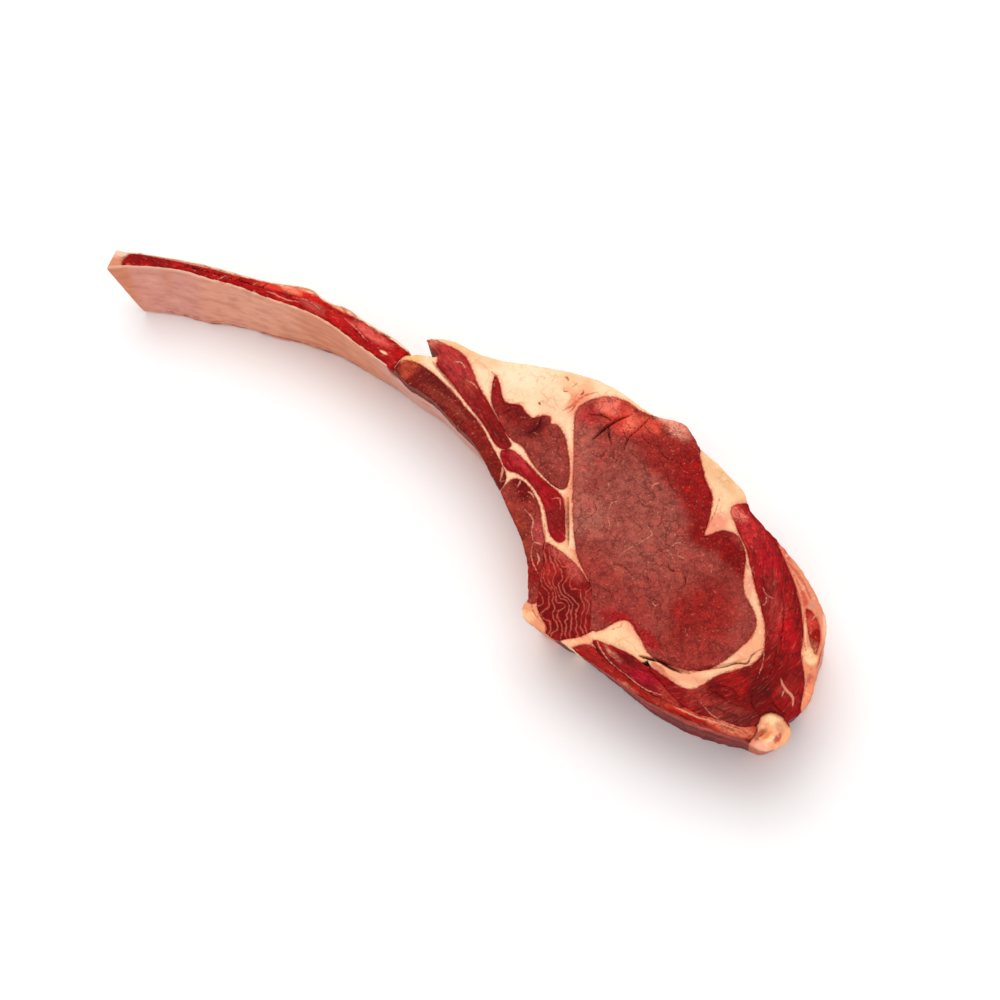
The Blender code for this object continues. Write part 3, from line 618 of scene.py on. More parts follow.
def slab_piece(name, nodes, paint, slot, top, side, spacing=0.45, base=0.0, lid=THICK, at=SECTION_AT,
               grow=0.14, drop=0.32, drop_reach=0.7, swell=0.3, swell_size=14.0, veins=(), cracks=(),
               fibres=0.0, levels=14, more=None):
    """One piece of the slab: its outline from the solid's section, a sculpted top, walls and underside.

    Noise makes the outline a little ragged. The top lies under the lid's height by a groove along the
    piece's edge, a slow swell, a fine grain and the crevices; veins stand a little proud and cracks are
    sunk. Rings of points at shares of the height make the walls, down to a flat underside.
    The edge attribute of meat is the distance to the piece's own edge, and that of fat to the nearest meat.
    """
    loops = [curved(loop, spacing) for loop in edges_of(nodes[0], at)]
    for loop in loops:
        way = -leftward(loop)
        loop += way * (grow(loop, way)[:, None] if callable(grow) else grow)
        loop += STRAY * np.stack([clouds(loop, STRAY_SIZE, seed) for seed in (31, 32)], 1)
    flat, faces, ring, edges = triangled(loops, filled(loops, spacing))
    low_flat, low_faces, low_ring = triangled(loops, filled(loops, UNDER_SPACING))[:3]
    edge = nearest(flat, np.concatenate(loops))[0]
    vein, crack = in_lines(flat, veins), in_lines(flat, cracks)
    depth = drop * np.exp(-edge / drop_reach) + swell * (1 + clouds(flat, swell_size, 1)) / 2
    depth += GRAIN_DEPTH * (1 + clouds(flat, GRAIN_SIZE, 4)) - VEIN_RISE * step_up(-0.3, 0.4, vein)
    depth += CRACK_DEPTH * step_up(-0.35, 0.4, crack)
    for line, half, deep in CREVICES:
        depth += deep * step_up(-0.6, half * 0.8, in_lines(flat, [(line, half)]))
    if more is not None:
        depth += more(flat, edge)
    z = lid - 0.02 - np.maximum(depth, 0)
    points = [np.column_stack([flat, z])]
    shares = np.array([0.5])
    if levels > 2:
        at_ends = np.array([0.012, 0.03, 0.06])
        shares = np.concatenate([at_ends, np.linspace(0.1, 0.9, levels), 1 - at_ends[::-1]])
    rings = [low_ring + len(flat)]
    points.append(np.column_stack([low_flat, np.full(len(low_flat), base)]))
    count = len(flat) + len(low_flat)
    for share in shares:
        points.append(np.column_stack([flat[ring], base + (z[ring] - base) * share]))
        rings.append(np.arange(count, count + len(ring)))
        count += len(ring)
    rings.append(ring)
    a, b = edges.T
    walls = np.concatenate([np.stack([lower[a], lower[b], upper[b], upper[a]], 1)
                            for lower, upper in zip(rings[:-1], rings[1:])])
    points = np.concatenate(points)
    is_top = np.arange(len(points)) < len(flat)
    near_edge = nearest(flat, meat_edges)[0] if slot == "fat" else edge
    from_ends = np.minimum(points[:, 2] - base, THICK - points[:, 2])
    lying = settled(points, np.where(is_top, 0.0, step_up(0.0, 2.5, from_ends)))

    def beyond(values, rest):
        """The top's values, and one value for the walls and the underside."""
        return np.concatenate([values, np.full(len(points) - len(values), rest)])

    colour = np.where(is_top[:, None], tinted(points, *top), tinted(points[:, [0, 2, 1]], *side))
    grain = fibres(points) if callable(fibres) else turned(points, fibres)
    values = {"tint": colour, "grain": grain, "edge": beyond(np.minimum(near_edge, DEEP_IN), DEEP_IN),
              "vein": beyond(vein, OFF_LINE), "crack": beyond(crack, OFF_LINE)}
    mesh_piece(name, lying, [faces, low_faces[:, ::-1] + len(flat), walls], values, paint, nodes)


def turned(points, angle):
    """Coordinates along and across fibres that run at an angle, in mm, a little wavy."""
    c, s = math.cos(math.radians(angle)), math.sin(math.radians(angle))
    flat = points[:, :2] @ np.array([[c, -s], [s, c]])
    flat[:, 1] += 0.9 * clouds(points[:, :2], 13.0, 41)
    return np.column_stack([flat, points[:, 2]])


def bent_place(tree, place, scale, detail, reach):
    """Coordinates moved about by coloured noise, by up to the reach."""
    wander = add(tree, "TexNoise", {}, Vector=place, Scale=scale, Detail=detail).outputs["Color"]
    moved = stretch(tree, wander, reach, reach, reach)
    return add(tree, "VectorMath", {"operation": "ADD"}, _0=place, _1=moved).outputs[0]


def cell_edges(tree, place, scale):
    """The distance to the edge of the nearest cell."""
    cells = add(tree, "TexVoronoi", {"feature": "DISTANCE_TO_EDGE"}, Vector=place, Scale=scale)
    return cells.outputs["Distance"]


def flesh_group():
    """What cut muscle looks like: fine bundles, darker and brighter patches, flecks, veins and cracks.

    Bundles and patches are noise of three sizes, each times the contrast. Flecks are the peaks of another
    noise. Short dark lines are the edges of two sizes of bent cells, where a slow noise lets them show: fine
    cracks between bundles, painted near black as the shade in them. Veins and cracks come in as depths in mm,
    and cracks are painted near black as their shade. Edge comes in as the distance to the edge, where meat is
    darkened with painted shade.
    """
    tree, given, result = new_group(
        "flesh", [("Place", "Vector"), ("Draw", "Vector"), ("Tint", "Color"), ("Pale", "Color"),
                  ("Fleck", "Float"), ("Crackle", "Float"), ("Vein", "Float"), ("Crack", "Float"),
                  ("Edge", "Float"), ("Contrast", "Float")],
        [("Colour", "Color"), ("Roughness", "Float"), ("Height", "Float")])
    place, tint = given["Place"], given["Tint"]
    along = add(tree, "VectorMath", {"operation": "MULTIPLY"}, _0=place, _1=given["Draw"]).outputs[0]
    fine = noise(tree, along, 1.25, 3.0, 0.65, 0.4)
    mid = noise(tree, along, 0.36, 3.0, 0.6, 0.5)
    patch = noise(tree, along, 0.13, 3.0, 0.6, 0.6)

    def shift(colour, value, low, high, most, factors):
        """The colour times the factors, by a share that grows as the value goes from low to high."""
        weight = maths(tree, "MULTIPLY", ramp(tree, value, low, high, 0.0, most), given["Contrast"])
        return mix(tree, weight, colour, mix(tree, 1.0, colour, (*factors, 1.0), "MULTIPLY"))

    colour = shift(tint, patch, 0.5, 0.36, 0.5, (0.66, 0.34, 0.36))
    colour = shift(colour, patch, 0.52, 0.66, 0.7, (1.40, 1.00, 0.95))
    colour = shift(colour, mid, 0.5, 0.38, 0.55, (0.66, 0.36, 0.38))
    colour = shift(colour, mid, 0.53, 0.68, 0.7, (1.40, 1.20, 1.15))
    colour = shift(colour, fine, 0.48, 0.36, 0.8, (0.55, 0.30, 0.32))
    colour = mix(tree, ramp(tree, fine, 0.57, 0.72, 0.0, 0.24), colour, given["Pale"])
    bent = bent_place(tree, place, 0.35, 3.0, 6)
    showing = ramp(tree, noise(tree, place, 0.12), 0.38, 0.58)
    line = maths(tree, "MULTIPLY", ramp(tree, cell_edges(tree, bent, 0.14), 0.06, 0.015), showing)
    thin = maths(tree, "MULTIPLY", ramp(tree, cell_edges(tree, bent, 0.38), 0.13, 0.02),
                 ramp(tree, noise(tree, place, 0.2), 0.36, 0.6))
    line = maths(tree, "MULTIPLY", maths(tree, "MAXIMUM", line, maths(tree, "MULTIPLY", thin, 0.7)),
                 given["Crackle"])
    # The fine cracks are painted near black: painted shade in them.
    colour = mix(tree, line, colour, (0.07, 0.005, 0.005, 1.0))
    fleck = maths(tree, "MULTIPLY", ramp(tree, noise(tree, along, 0.7, 2.0), 0.64, 0.72), given["Fleck"])
    colour = mix(tree, fleck, colour, given["Pale"])
    rough = maths(tree, "MULTIPLY", maths(tree, "SUBTRACT", noise(tree, place, 0.9, 3.0), 0.5), 1.8)
    # Painted shade along the edge: meat darkens as the Edge distance falls.
    colour = shift(colour, maths(tree, "ADD", given["Edge"], rough), 0.9, 0.1, 0.2, (0.85, 0.65, 0.65))
    uneven = maths(tree, "MULTIPLY", rough, 0.6)
    vein = ramp(tree, maths(tree, "ADD", given["Vein"], uneven), -0.2, 0.3, 0.0, 0.8)
    colour = mix(tree, vein, colour, given["Pale"])
    # The cracks are painted near black: painted shade in them.
    crack = ramp(tree, maths(tree, "ADD", given["Crack"], uneven), -0.25, 0.3, 0.0, 0.95)
    colour = mix(tree, crack, colour, (0.08, 0.005, 0.005, 1.0))
    tree.links.new(colour, result["Colour"])
    tree.links.new(ramp(tree, maths(tree, "ADD", fine, mid), 0.7, 1.3, 0.34, 0.56), result["Roughness"])
    height = maths(tree, "ADD", maths(tree, "MULTIPLY", fine, 0.35), maths(tree, "MULTIPLY", mid, 0.8))
    height = maths(tree, "SUBTRACT", height, maths(tree, "MULTIPLY", line, 0.6))
    height = maths(tree, "SUBTRACT", height, maths(tree, "MULTIPLY", crack, 0.8))
    tree.links.new(maths(tree, "ADD", height, maths(tree, "MULTIPLY", vein, 0.25)), result["Height"])
    return tree


flesh = flesh_group()


def meat(name, draw, fleck, crackle, contrast, pale=(224, 146, 118)):
    """A muscle's material: the flesh group with its own fibre length, flecks, cracks and contrast."""
    paint, tree, shader = moist(name, 0.42, 0.1, (2.2, 0.6, 0.4), 0.05)
    out = place_group(tree, flesh, Place=read(tree, "grain", "Vector"), Draw=draw, Fleck=fleck,
                      Tint=read(tree, "tint", "Color"), Pale=opaque(*pale), Crackle=crackle,
                      Contrast=contrast, Vein=read(tree, "vein"), Crack=read(tree, "crack"),
                      Edge=read(tree, "edge"))
    tree.links.new(out["Colour"], shader["Base Color"])
    tree.links.new(out["Roughness"], shader["Roughness"])
    bumped(tree, shader, out["Height"], 0.0007)
    return paint


def lumps(flat, edge):
    """Lumps of meat: a crown across the strip, and dips between the lumps."""
    return 0.9 * np.exp(-edge / 0.7) + 1.2 * step_up(0.1, 0.7, clouds(flat, 7.5, 55, 2)) - 0.2


def to_far_edge(loop, way):
    """How far the strip's outline grows: mostly on its far side, over the edge of the bone."""
    return 0.3 + 0.45 * np.clip(way[:, 1], 0, 1)


slab_piece(
    "meat_on_rib", ["rib_meat"], meat("rib_meat", (0.4, 1.0, 0.6), 0.3, 0.2, 0.9), "rib_meat",
    ((170, 16, 16), [
        (-185, -41, 16, 5, 27, (150, 10, 14)), (-160, -31, 14, 4, 20, (160, 14, 16)),
        (-142, -22, 12, 4, 24, (176, 14, 18)), (-128, -12, 9, 3.5, 30, (220, 60, 44)),
        (-117, -6.5, 8, 3.5, 25, (250, 136, 104)), (-104, -9, 9, 3, 12, (176, 70, 62)),
        (-108, -5, 8, 2.2, 8, (196, 26, 24)), (-90, -6, 10, 3, 5, (186, 24, 24)),
        (-72, -2.5, 13, 3, 2, (226, 92, 82)), (-68, -8.3, 14, 1.8, -2, (170, 14, 18)),
        (-124, -8.6, 6, 1.4, 32, (255, 196, 150)), (-112, -2.8, 8, 1.3, 12, (255, 184, 140)),
        (-97, -1.2, 8, 1.3, 10, (252, 168, 122)), (-84, 1.6, 9, 1.5, -2, (255, 190, 150)),
        (-68, 2.6, 10, 1.6, 4, (255, 200, 156)), (-60, -7.2, 2.6, 0.9, 0, (250, 214, 166))], 1.2),
    ((186, 60, 48), [], 2.0),
    base=38.3, grow=to_far_edge, drop=0.2, levels=2, more=lumps, fibres=15.0,
    veins=[
        ([(-198, -45.6), (-190, -40.6), (-176, -33), (-161, -25.6), (-146, -19.6), (-134, -14)], 0.9),
        ([(-151, -29), (-149, -25), (-148, -22)], 0.35), ([(-128, -19), (-118, -15), (-110, -13)], 0.5),
        ([(-112, -10), (-106, -8), (-100, -9)], 0.4), ([(-88, -4), (-80, -4.6), (-70, -7)], 0.3),
        ([(-138, -22), (-136, -19), (-135, -16)], 0.3), ([(-125, -6), (-112, -1.6), (-100, -2.6)], 0.6)],
    cracks=[
        ([(-168, -34), (-166, -30)], 0.4), ([(-157, -29), (-155, -26)], 0.4),
        ([(-144, -24), (-143, -20)], 0.4), ([(-131, -18), (-131, -14)], 0.4)])

# The eye. The large round muscle in the middle, cut straight across its fibres, so that it shows a fine
# brown-red grain with pale flecks. It is cleft at the top, and darker where it meets the fat: a deeper red
# there, and painted shade along its edge.
MEAT_SIDE = (132, 18, 14)
across_grain = meat("eye_meat", (1.0, 1.0, 0.6), 0.3, 0.6, 0.66)

slab_piece(
    "eye", ["eye_muscle"], across_grain, "lean_meat",
    ((162, 66, 56), [
        (92, 6, 36, 24, -30, (166, 82, 70)), (84, 40, 30, 13, -12, (158, 40, 32)),
        (52, 42, 17, 10, 5, (212, 70, 56)), (43, 44, 6, 7, 20, (236, 116, 96)),
        (58, 43, 5, 6, 10, (240, 112, 88)), (40, 31, 6, 8, 0, (186, 50, 50)),
        (74, 55, 11, 6, -8, (252, 166, 140)), (66, 47, 8, 4, 0, (214, 80, 60)),
        (104, 36, 26, 10, -42, (156, 20, 18)), (122, 18, 11, 8, 0, (142, 16, 16)),
        (140, 18, 16, 7, -25, (142, 12, 12)), (68, -12, 16, 12, 0, (176, 98, 84)),
        (48, 10, 10, 22, 35, (178, 92, 78)), (108, -36, 30, 12, -5, (162, 60, 52)),
        (136, -20, 8, 5, -30, (178, 30, 26)), (136, -42, 9, 4, 0, (176, 30, 30)),
        (148, -18, 14, 24, 10, (152, 34, 28)), (158, -34, 14, 12, 40, (164, 52, 44)),
        (122, -43, 14, 4, 0, (170, 26, 28)), (126, -20, 8, 6, 0, (160, 66, 56))]),
    (MEAT_SIDE, []),
    spacing=0.5, levels=8, swell=0.5, swell_size=22.0, fibres=20.0,
    veins=[
        ([(88, 20), (87.5, 23), (89, 25.5)], 0.35), ([(79, -1), (78, 2), (79.5, 5)], 0.3),
        ([(98, 4), (103, 2), (102, -3), (101, -7)], 0.28), ([(101, -7), (99, -12), (98, -18)], 0.25),
        ([(82, -5), (85, -8)], 0.35), ([(114, 2), (115, 6), (118, 8)], 0.32),
        ([(119, 1), (122, 1.6), (124, 2)], 0.3), ([(113, 0), (117, -1), (121, -3)], 0.22),
        # The first line here, from (124, -25) to (128, -24), is a painted glint of light, drawn as a pale
        # vein.
        ([(124, -25), (127, -26), (128, -24)], 0.3), ([(132, 5), (135, 7), (137, 4)], 0.22),
        ([(95, -20), (99, -23), (105, -24)], 0.2), ([(70, 10), (72, 7), (71, 3)], 0.22)],
    cracks=[
        ([(49.5, 24), (50, 31), (51.5, 38), (55.5, 46)], 0.45), ([(40, 33), (45, 36.5), (50, 37)], 0.3),
        ([(50.5, 34), (54, 30), (58, 27)], 0.4), ([(63.5, 50), (63, 42), (62.5, 34), (65, 28)], 0.35),
        ([(57, 37), (62, 34), (68, 35)], 0.25), ([(60, 47), (67, 44), (76, 45)], 0.25),
        ([(66, 51), (72, 48.5), (80, 50)], 0.25), ([(64, 31), (70, 29), (76, 31)], 0.2),
        ([(76, 40), (82, 38), (90, 40), (96, 37)], 0.25), ([(66, 40), (72, 39), (79, 42)], 0.2),
        ([(98, -22), (103, -20), (109, -21)], 0.25), ([(118, -5), (121, -7), (125, -5)], 0.35),
        ([(112, -13), (115, -17), (120, -18)], 0.25), ([(70, -19), (74, -26), (78, -31)], 0.2),
        ([(138, -50), (141, -49), (146, -46.8), (153, -45.8), (160, -42.5)], 0.6),
        ([(90, 30), (97, 27), (103, 29)], 0.2), ([(84, 14), (90, 11), (95, 13)], 0.2),
        ([(126, -4), (131, -8), (130, -14)], 0.25), ([(70, -2), (75, -6), (74, -12)], 0.2)])


# The cap. The long muscle that wraps round the eye's right side, crimson, with its fibres running round
# in the same arc, dark and lined at its lower end and pink at its upper tip.
def round_the_eye(points):
    """Coordinates round and out from the eye's middle, in mm, a little wavy: the cap's fibres."""
    away = points[:, :2] - (112.0, -14.0)
    out = np.hypot(*away.T) + 1.2 * clouds(points[:, :2], 15.0, 43)
    return np.column_stack([np.arctan2(away[:, 1], away[:, 0]) * 60.0, out, points[:, 2]])


along_grain = meat("long_meat", (0.2, 1.0, 0.7), 0.1, 0.6, 0.9)

slab_piece(
    "cap", ["cap_muscle"], along_grain, "lean_meat",
    ((152, 18, 20), [
        (138, 33, 18, 6, -22, (196, 44, 46)), (126, 36, 6, 4, 0, (228, 116, 98)),
        (158, 23, 18, 5, -35, (182, 20, 30)), (176, 5, 14, 5, -55, (168, 40, 38)),
        (168, 12, 16, 4, -42, (176, 52, 46)), (184, 3, 4, 10, 35, (190, 16, 24)),
        (186, -16, 10, 12, -70, (136, 12, 12)), (188, -36, 14, 14, 0, (134, 14, 12)),
        (184, -47, 15, 5, 20, (138, 46, 38)), (200, -21, 5, 3, 0, (160, 40, 32)),
        (172, -46, 9, 6, 30, (172, 50, 42)), (203, -33, 6, 8, 0, (140, 12, 12)),
        (190, -28, 7, 9, 0, (104, 8, 8)), (177, -41, 9, 4, 10, (124, 10, 10)),
        (203, -14, 5, 6, 0, (150, 22, 20)), (178, -30, 5, 12, 20, (168, 22, 20))]),
    (MEAT_SIDE, []),
    fibres=round_the_eye, swell=0.6, swell_size=12.0,
    veins=[
        ([(160, 14), (164, 12), (168, 13)], 0.3), ([(164, 12), (166, 8), (165, 5)], 0.25),
        ([(178, -8), (184, -18), (186, -24)], 0.25), ([(172, -50), (182, -52), (190, -50)], 0.3),
        ([(194, -17), (199, -20), (204, -21), (207.5, -25)], 0.75), ([(199, -20), (200, -24)], 0.4),
        ([(150, 20), (151, 18), (153, 17)], 0.3)],
    cracks=[
        ([(168, -46), (176, -42), (184, -42), (192, -38)], 0.22),
        ([(196, -28), (202, -30), (207, -30)], 0.3), ([(172, -40), (180, -36), (186, -37)], 0.2),
        ([(176, -50), (184, -47), (192, -44)], 0.2), ([(166, 20), (174, 12), (182, 0), (188, -10)], 0.2),
        ([(182, -4), (188, -14), (190, -24)], 0.2), ([(188, -30), (192, -36), (198, -38)], 0.2)])

# The small muscles to the left of the eye. Four muscles that run to the rib lie between the seams of fat,
# each in its own thin skin, and the nearest one is crossed by fine wavy lines of fat.
slab_piece(
    "wedge", ["wedge_muscle"], across_grain, "lean_meat",
    ((154, 58, 48), [
        (24, 10, 5, 9, -20, (108, 22, 18)), (8, 9, 12, 7, 0, (140, 24, 22)),
        (-6, 16, 10, 5, -40, (160, 20, 24)), (14, 16, 10, 5, 0, (128, 16, 16)),
        (38, 2, 12, 6, -20, (160, 66, 56)), (10, -1, 12, 3, -10, (186, 46, 46))]),
    (MEAT_SIDE, []),
    fibres=30.0, levels=2, swell=0.5, swell_size=9.0,
    cracks=[([(23, 16), (25, 11), (24, 6)], 0.5), ([(6, 13), (8, 9), (7, 6)], 0.3)])

slab_piece(
    "strip", ["strip_muscle"], along_grain, "lean_meat",
    ((170, 16, 26), [
        (20, -6, 8, 4, -10, (134, 18, 18)), (30, -8, 9, 4, -5, (196, 44, 52)),
        (62, -20, 8, 6, -35, (152, 26, 26)), (48, -9, 10, 5, -15, (164, 12, 20))]),
    (MEAT_SIDE, []),
    fibres=-18.0, levels=2, swell=0.6, swell_size=8.0,
    veins=[([(11, -4), (15, -6), (20, -9)], 0.9), ([(54, -15), (57, -12), (61, -16)], 0.3)])

slab_piece(
    "flap", ["flap_muscle"], along_grain, "lean_meat",
    ((164, 30, 32), [
        (-45, 17, 9, 6, 30, (244, 142, 114)), (-28, 12, 16, 6, -12, (188, 56, 54)),
        (-14, 6, 6, 4, -15, (172, 60, 46)), (-2, 4, 12, 5, -20, (148, 24, 22)),
        (12, -4, 9, 5, -20, (128, 16, 14))]),
    (MEAT_SIDE, []),
    fibres=-16.0, swell=0.6, swell_size=12.0,
    veins=[([(-30, 12), (-27, 14), (-23, 13)], 0.5), ([(-19, 8), (-15, 9), (-11, 8)], 0.4)])


def squiggles(flat):
    """Long wavy pale lines, as depths in mm: they run where a phase that noise bends is a whole number.

    A point's distance to the nearest line is its phase's distance to a whole number over its slope.
    """
    def phase(spot):
        """A slanting ramp, bent by two sizes of noise."""
        return spot @ (0.27, 0.24) + 2.3 * clouds(spot, 11.0, 71, 2) + 0.3 * clouds(spot, 3.0, 72)

    here = phase(flat)
    slope = np.hypot(phase(flat + (0.05, 0)) - here, phase(flat + (0, 0.05)) - here) / 0.05
    away = np.abs(here - np.round(here)) / np.maximum(slope, 0.15)
    return np.maximum(0.34 + 0.22 * clouds(flat, 5.0, 73) - away, OFF_LINE)


slab_piece(
    "marbled", ["marbled_muscle"], meat("marbled_meat", (0.5, 1.0, 0.7), 0.1, 0.5, 1.0, (196, 88, 72)),
    "lean_meat",
    ((140, 16, 14), [
        (82, -36, 12, 4, -10, (204, 84, 74)), (104, -43, 7, 6, 0, (156, 44, 40)),
        (92, -60, 12, 7, 0, (128, 8, 8)), (77, -45, 7, 7, 0, (170, 34, 30)),
        (96, -50, 7, 6, 0, (112, 12, 10))]),
    (MEAT_SIDE, []),
    fibres=-28.0, swell=0.7, swell_size=6.0, veins=squiggles)

# The meat along the rib. Intercostal meat lies on the rib, brown-red with slanting streaks, and ends in
# a piece cut through by pale lines. Only the rib's skin covers their near side.
RIB_TOP = 33.7
slab_piece(
    "intercostal", ["intercostal_muscle"], meat("streaked_meat", (0.5, 1.0, 0.7), 0.3, 0.5, 0.8),
    "dark_meat",
    ((124, 26, 18), [
        (-45, -6, 6, 7, 0, (200, 80, 52)), (-30, -2, 7, 3, 0, (112, 22, 16)),
        (-12, -7, 16, 1.2, -12, (156, 64, 46)), (-20, -8, 14, 3, -5, (146, 50, 36)),
        (4, -10, 8, 6, 0, (146, 30, 22)), (18, -16, 10, 6, -30, (132, 28, 18))]),
    ((128, 40, 26), []),
    base=RIB_TOP, levels=4, fibres=62.0, swell=0.5, swell_size=9.0,
    veins=[
        ([(-50, -6), (-48.5, -1), (-42, 1), (-34, 1.3)], 0.7),
        ([(-34, 1.3), (-18, -1), (0, -5), (16, -11)], 0.5), ([(24, -14), (27, -19), (29, -24)], 0.7)])


slab_piece(
    "rib_end", ["rib_end_muscle"], across_grain, "lean_meat",
    ((160, 56, 44), [
        (40, -18, 9, 6, -40, (118, 12, 12)), (62, -30, 7, 5, -30, (184, 74, 70)),
        (56, -41, 14, 4, -45, (146, 50, 30)), (70, -50, 8, 7, -50, (152, 22, 18))]),
    ((134, 44, 28), []),
    base=RIB_TOP, levels=4, fibres=-40.0, swell=0.5, swell_size=8.0,
    veins=[
        ([(48, -27), (55, -29), (58, -34), (62, -38)], 0.4), ([(62, -38), (65, -36.5), (67.5, -36)], 0.4),
        ([(62, -38), (66, -45), (74, -49)], 0.35), ([(43, -19), (46, -18.6), (48, -20)], 0.5),
        ([(67, -41), (70, -43), (71, -46)], 0.6), ([(34, -14), (37, -17), (38, -21)], 0.4)])

slab_piece(
    "rib_end_foot", ["rib_end_muscle"], across_grain, "lean_meat",
    ((130, 30, 24), []), ((130, 30, 24), []),
    at=RIB_SECTION_AT, lid=RIB_TOP, levels=4)

# The thin muscles along the lower edge and the rim. Two strips lie one over the other under the cap's
# end, the outer one rolled over the edge, and a small red one shows in the fat of the right rim.
slab_piece(
    "lower_strip", ["lower_muscle"], along_grain, "lean_meat",
    ((146, 14, 20), [
        (144, -57, 12, 3, 5, (168, 16, 40)), (120, -55, 8, 4, 0, (178, 30, 26)),
        (126, -58.5, 6, 1.2, -12, (206, 120, 96)), (160, -57, 8, 3, 0, (186, 60, 46)),
        (134, -56, 5, 3, 0, (124, 10, 10))]),
    (MEAT_SIDE, []),
    fibres=3.0, swell=0.7, swell_size=7.0,
    veins=[
        ([(115, -56), (121, -59.5), (128, -61.8), (136, -62.3)], 0.4),
        ([(136, -62), (150, -62), (158, -59)], 0.4)])

slab_piece(
    "edge_strip", ["edge_muscle"], along_grain, "dark_meat",
    ((176, 30, 20), [
        (176, -55, 16, 3, 8, (218, 104, 76)), (194, -50, 12, 4, 25, (226, 120, 86)),
        (125, -66, 18, 3, 0, (166, 30, 26)), (142, -66.5, 7, 1.4, 0, (206, 110, 80)),
        (158, -62, 10, 2, 5, (176, 60, 40)), (165, -57, 10, 2, 5, (196, 70, 54))]),
    # The wall is dark red-brown. Its thin orange streaks are painted highlights, and its darker bands lower
    # down, (96, 8, 6) and (120, 14, 8), are painted shade.
    ((142, 22, 12), [
        (176, 34, 24, 4, 0, (196, 66, 34)), (150, 38, 20, 4, 0, (176, 50, 34)),
        (126, 30, 12, 6, 0, (190, 40, 26)), (176, 24, 26, 3, 0, (96, 8, 6)),
        (160, 10, 24, 6, 0, (120, 14, 8)), (188, 38, 12, 1.4, 3, (214, 96, 66)),
        (168, 31, 12, 1.0, -2, (220, 100, 70)), (186, 17, 14, 1.2, 2, (190, 60, 40)),
        (150, 24, 14, 1.2, 3, (206, 80, 54)), (138, 36, 8, 1.6, 0, (196, 90, 64))], 1.6),
    fibres=6.0, swell=0.8, swell_size=9.0,
    veins=[([(155, -57), (165, -60), (175, -58), (190, -52), (198, -49)], 0.6)],
    cracks=[([(165, -62), (178, -60.5), (192, -56), (203, -51)], 0.4)])

slab_piece(
    "rim_strip", ["rim_muscle"], across_grain, "lean_meat",
    ((164, 18, 16), [
        (190, 14, 4, 6, 0, (206, 66, 50)), (196, 4, 4, 4, 0, (214, 120, 90))]),
    ((170, 50, 38), []),
    fibres=-50.0, swell=0.7, swell_size=6.0,
    veins=[([(189, 9), (191, 7), (193, 7.5)], 0.5), ([(186, 20), (188, 17), (187, 14)], 0.3)])


# The fat. Cream fat covers the top left shoulder, runs down between the muscles as a double seam, fills
# the corners and rolls over the right rim. It is firm and smooth, in low lobes with fine lines between.
def fat_material():
    """Fat: soft lobes with faint orange lines between, pink where it touches meat, and painted shade in
    cracks as dark red.
    """
    paint, tree, shader = moist("beef_fat", 0.45, 0.3, (3.5, 2.0, 1.0))
    place = read(tree, "grain", "Vector")
    tint = read(tree, "tint", "Color")
    cells = cell_edges(tree, bent_place(tree, place, 0.2, 2.0, 7), 0.11)
    showing = ramp(tree, noise(tree, place, 0.1), 0.44, 0.62)
    line = maths(tree, "MULTIPLY", ramp(tree, cells, 0.06, 0.0), showing)
    mottle = noise(tree, place, 0.35, 3.0, 0.6)
    fine = noise(tree, place, 1.4, 3.0, 0.6)
    colour = mix(tree, ramp(tree, mottle, 0.5, 0.75, 0.0, 0.35), tint, opaque(236, 158, 112))
    colour = mix(tree, ramp(tree, mottle, 0.45, 0.25, 0.0, 0.4), colour, opaque(255, 226, 190))
    colour = mix(tree, maths(tree, "MULTIPLY", line, 0.35), colour, opaque(214, 112, 70))
    colour = mix(tree, ramp(tree, fine, 0.55, 0.8, 0.0, 0.2), colour, opaque(226, 140, 96))
    rough = maths(tree, "MULTIPLY", maths(tree, "SUBTRACT", noise(tree, place, 0.8, 3.0, 0.6), 0.5), 2.4)
    ragged = maths(tree, "ADD", read(tree, "edge"), rough)
    colour = mix(tree, ramp(tree, ragged, 2.8, 0.8, 0.0, 0.45), colour, opaque(236, 148, 112))
    colour = mix(tree, ramp(tree, ragged, 0.95, 0.45, 0.0, 0.75), colour, opaque(190, 62, 48))
    vein = ramp(tree, maths(tree, "ADD", read(tree, "vein"), rough), -0.25, 0.3, 0.0, 0.75)
    colour = mix(tree, vein, colour, opaque(206, 84, 58))
    # Painted shade: the cracks are painted dark red.
    uneven = maths(tree, "ADD", read(tree, "crack"), maths(tree, "MULTIPLY", rough, 0.4))
    crack = ramp(tree, uneven, -0.3, 0.5, 0.0, 0.95)
    colour = mix(tree, crack, colour, opaque(118, 22, 16))
    tree.links.new(colour, shader["Base Color"])
    tree.links.new(ramp(tree, mottle, 0.3, 0.7, 0.36, 0.56), shader["Roughness"])
    height = maths(tree, "MULTIPLY", mottle, 0.7)
    height = maths(tree, "SUBTRACT", height, maths(tree, "MULTIPLY", line, 0.3))
    height = maths(tree, "ADD", height, maths(tree, "MULTIPLY", fine, 0.16))
    bumped(tree, shader, height, 0.0006)
    return paint


fat = fat_material()
FAT_SIDE = ((240, 190, 146), [])

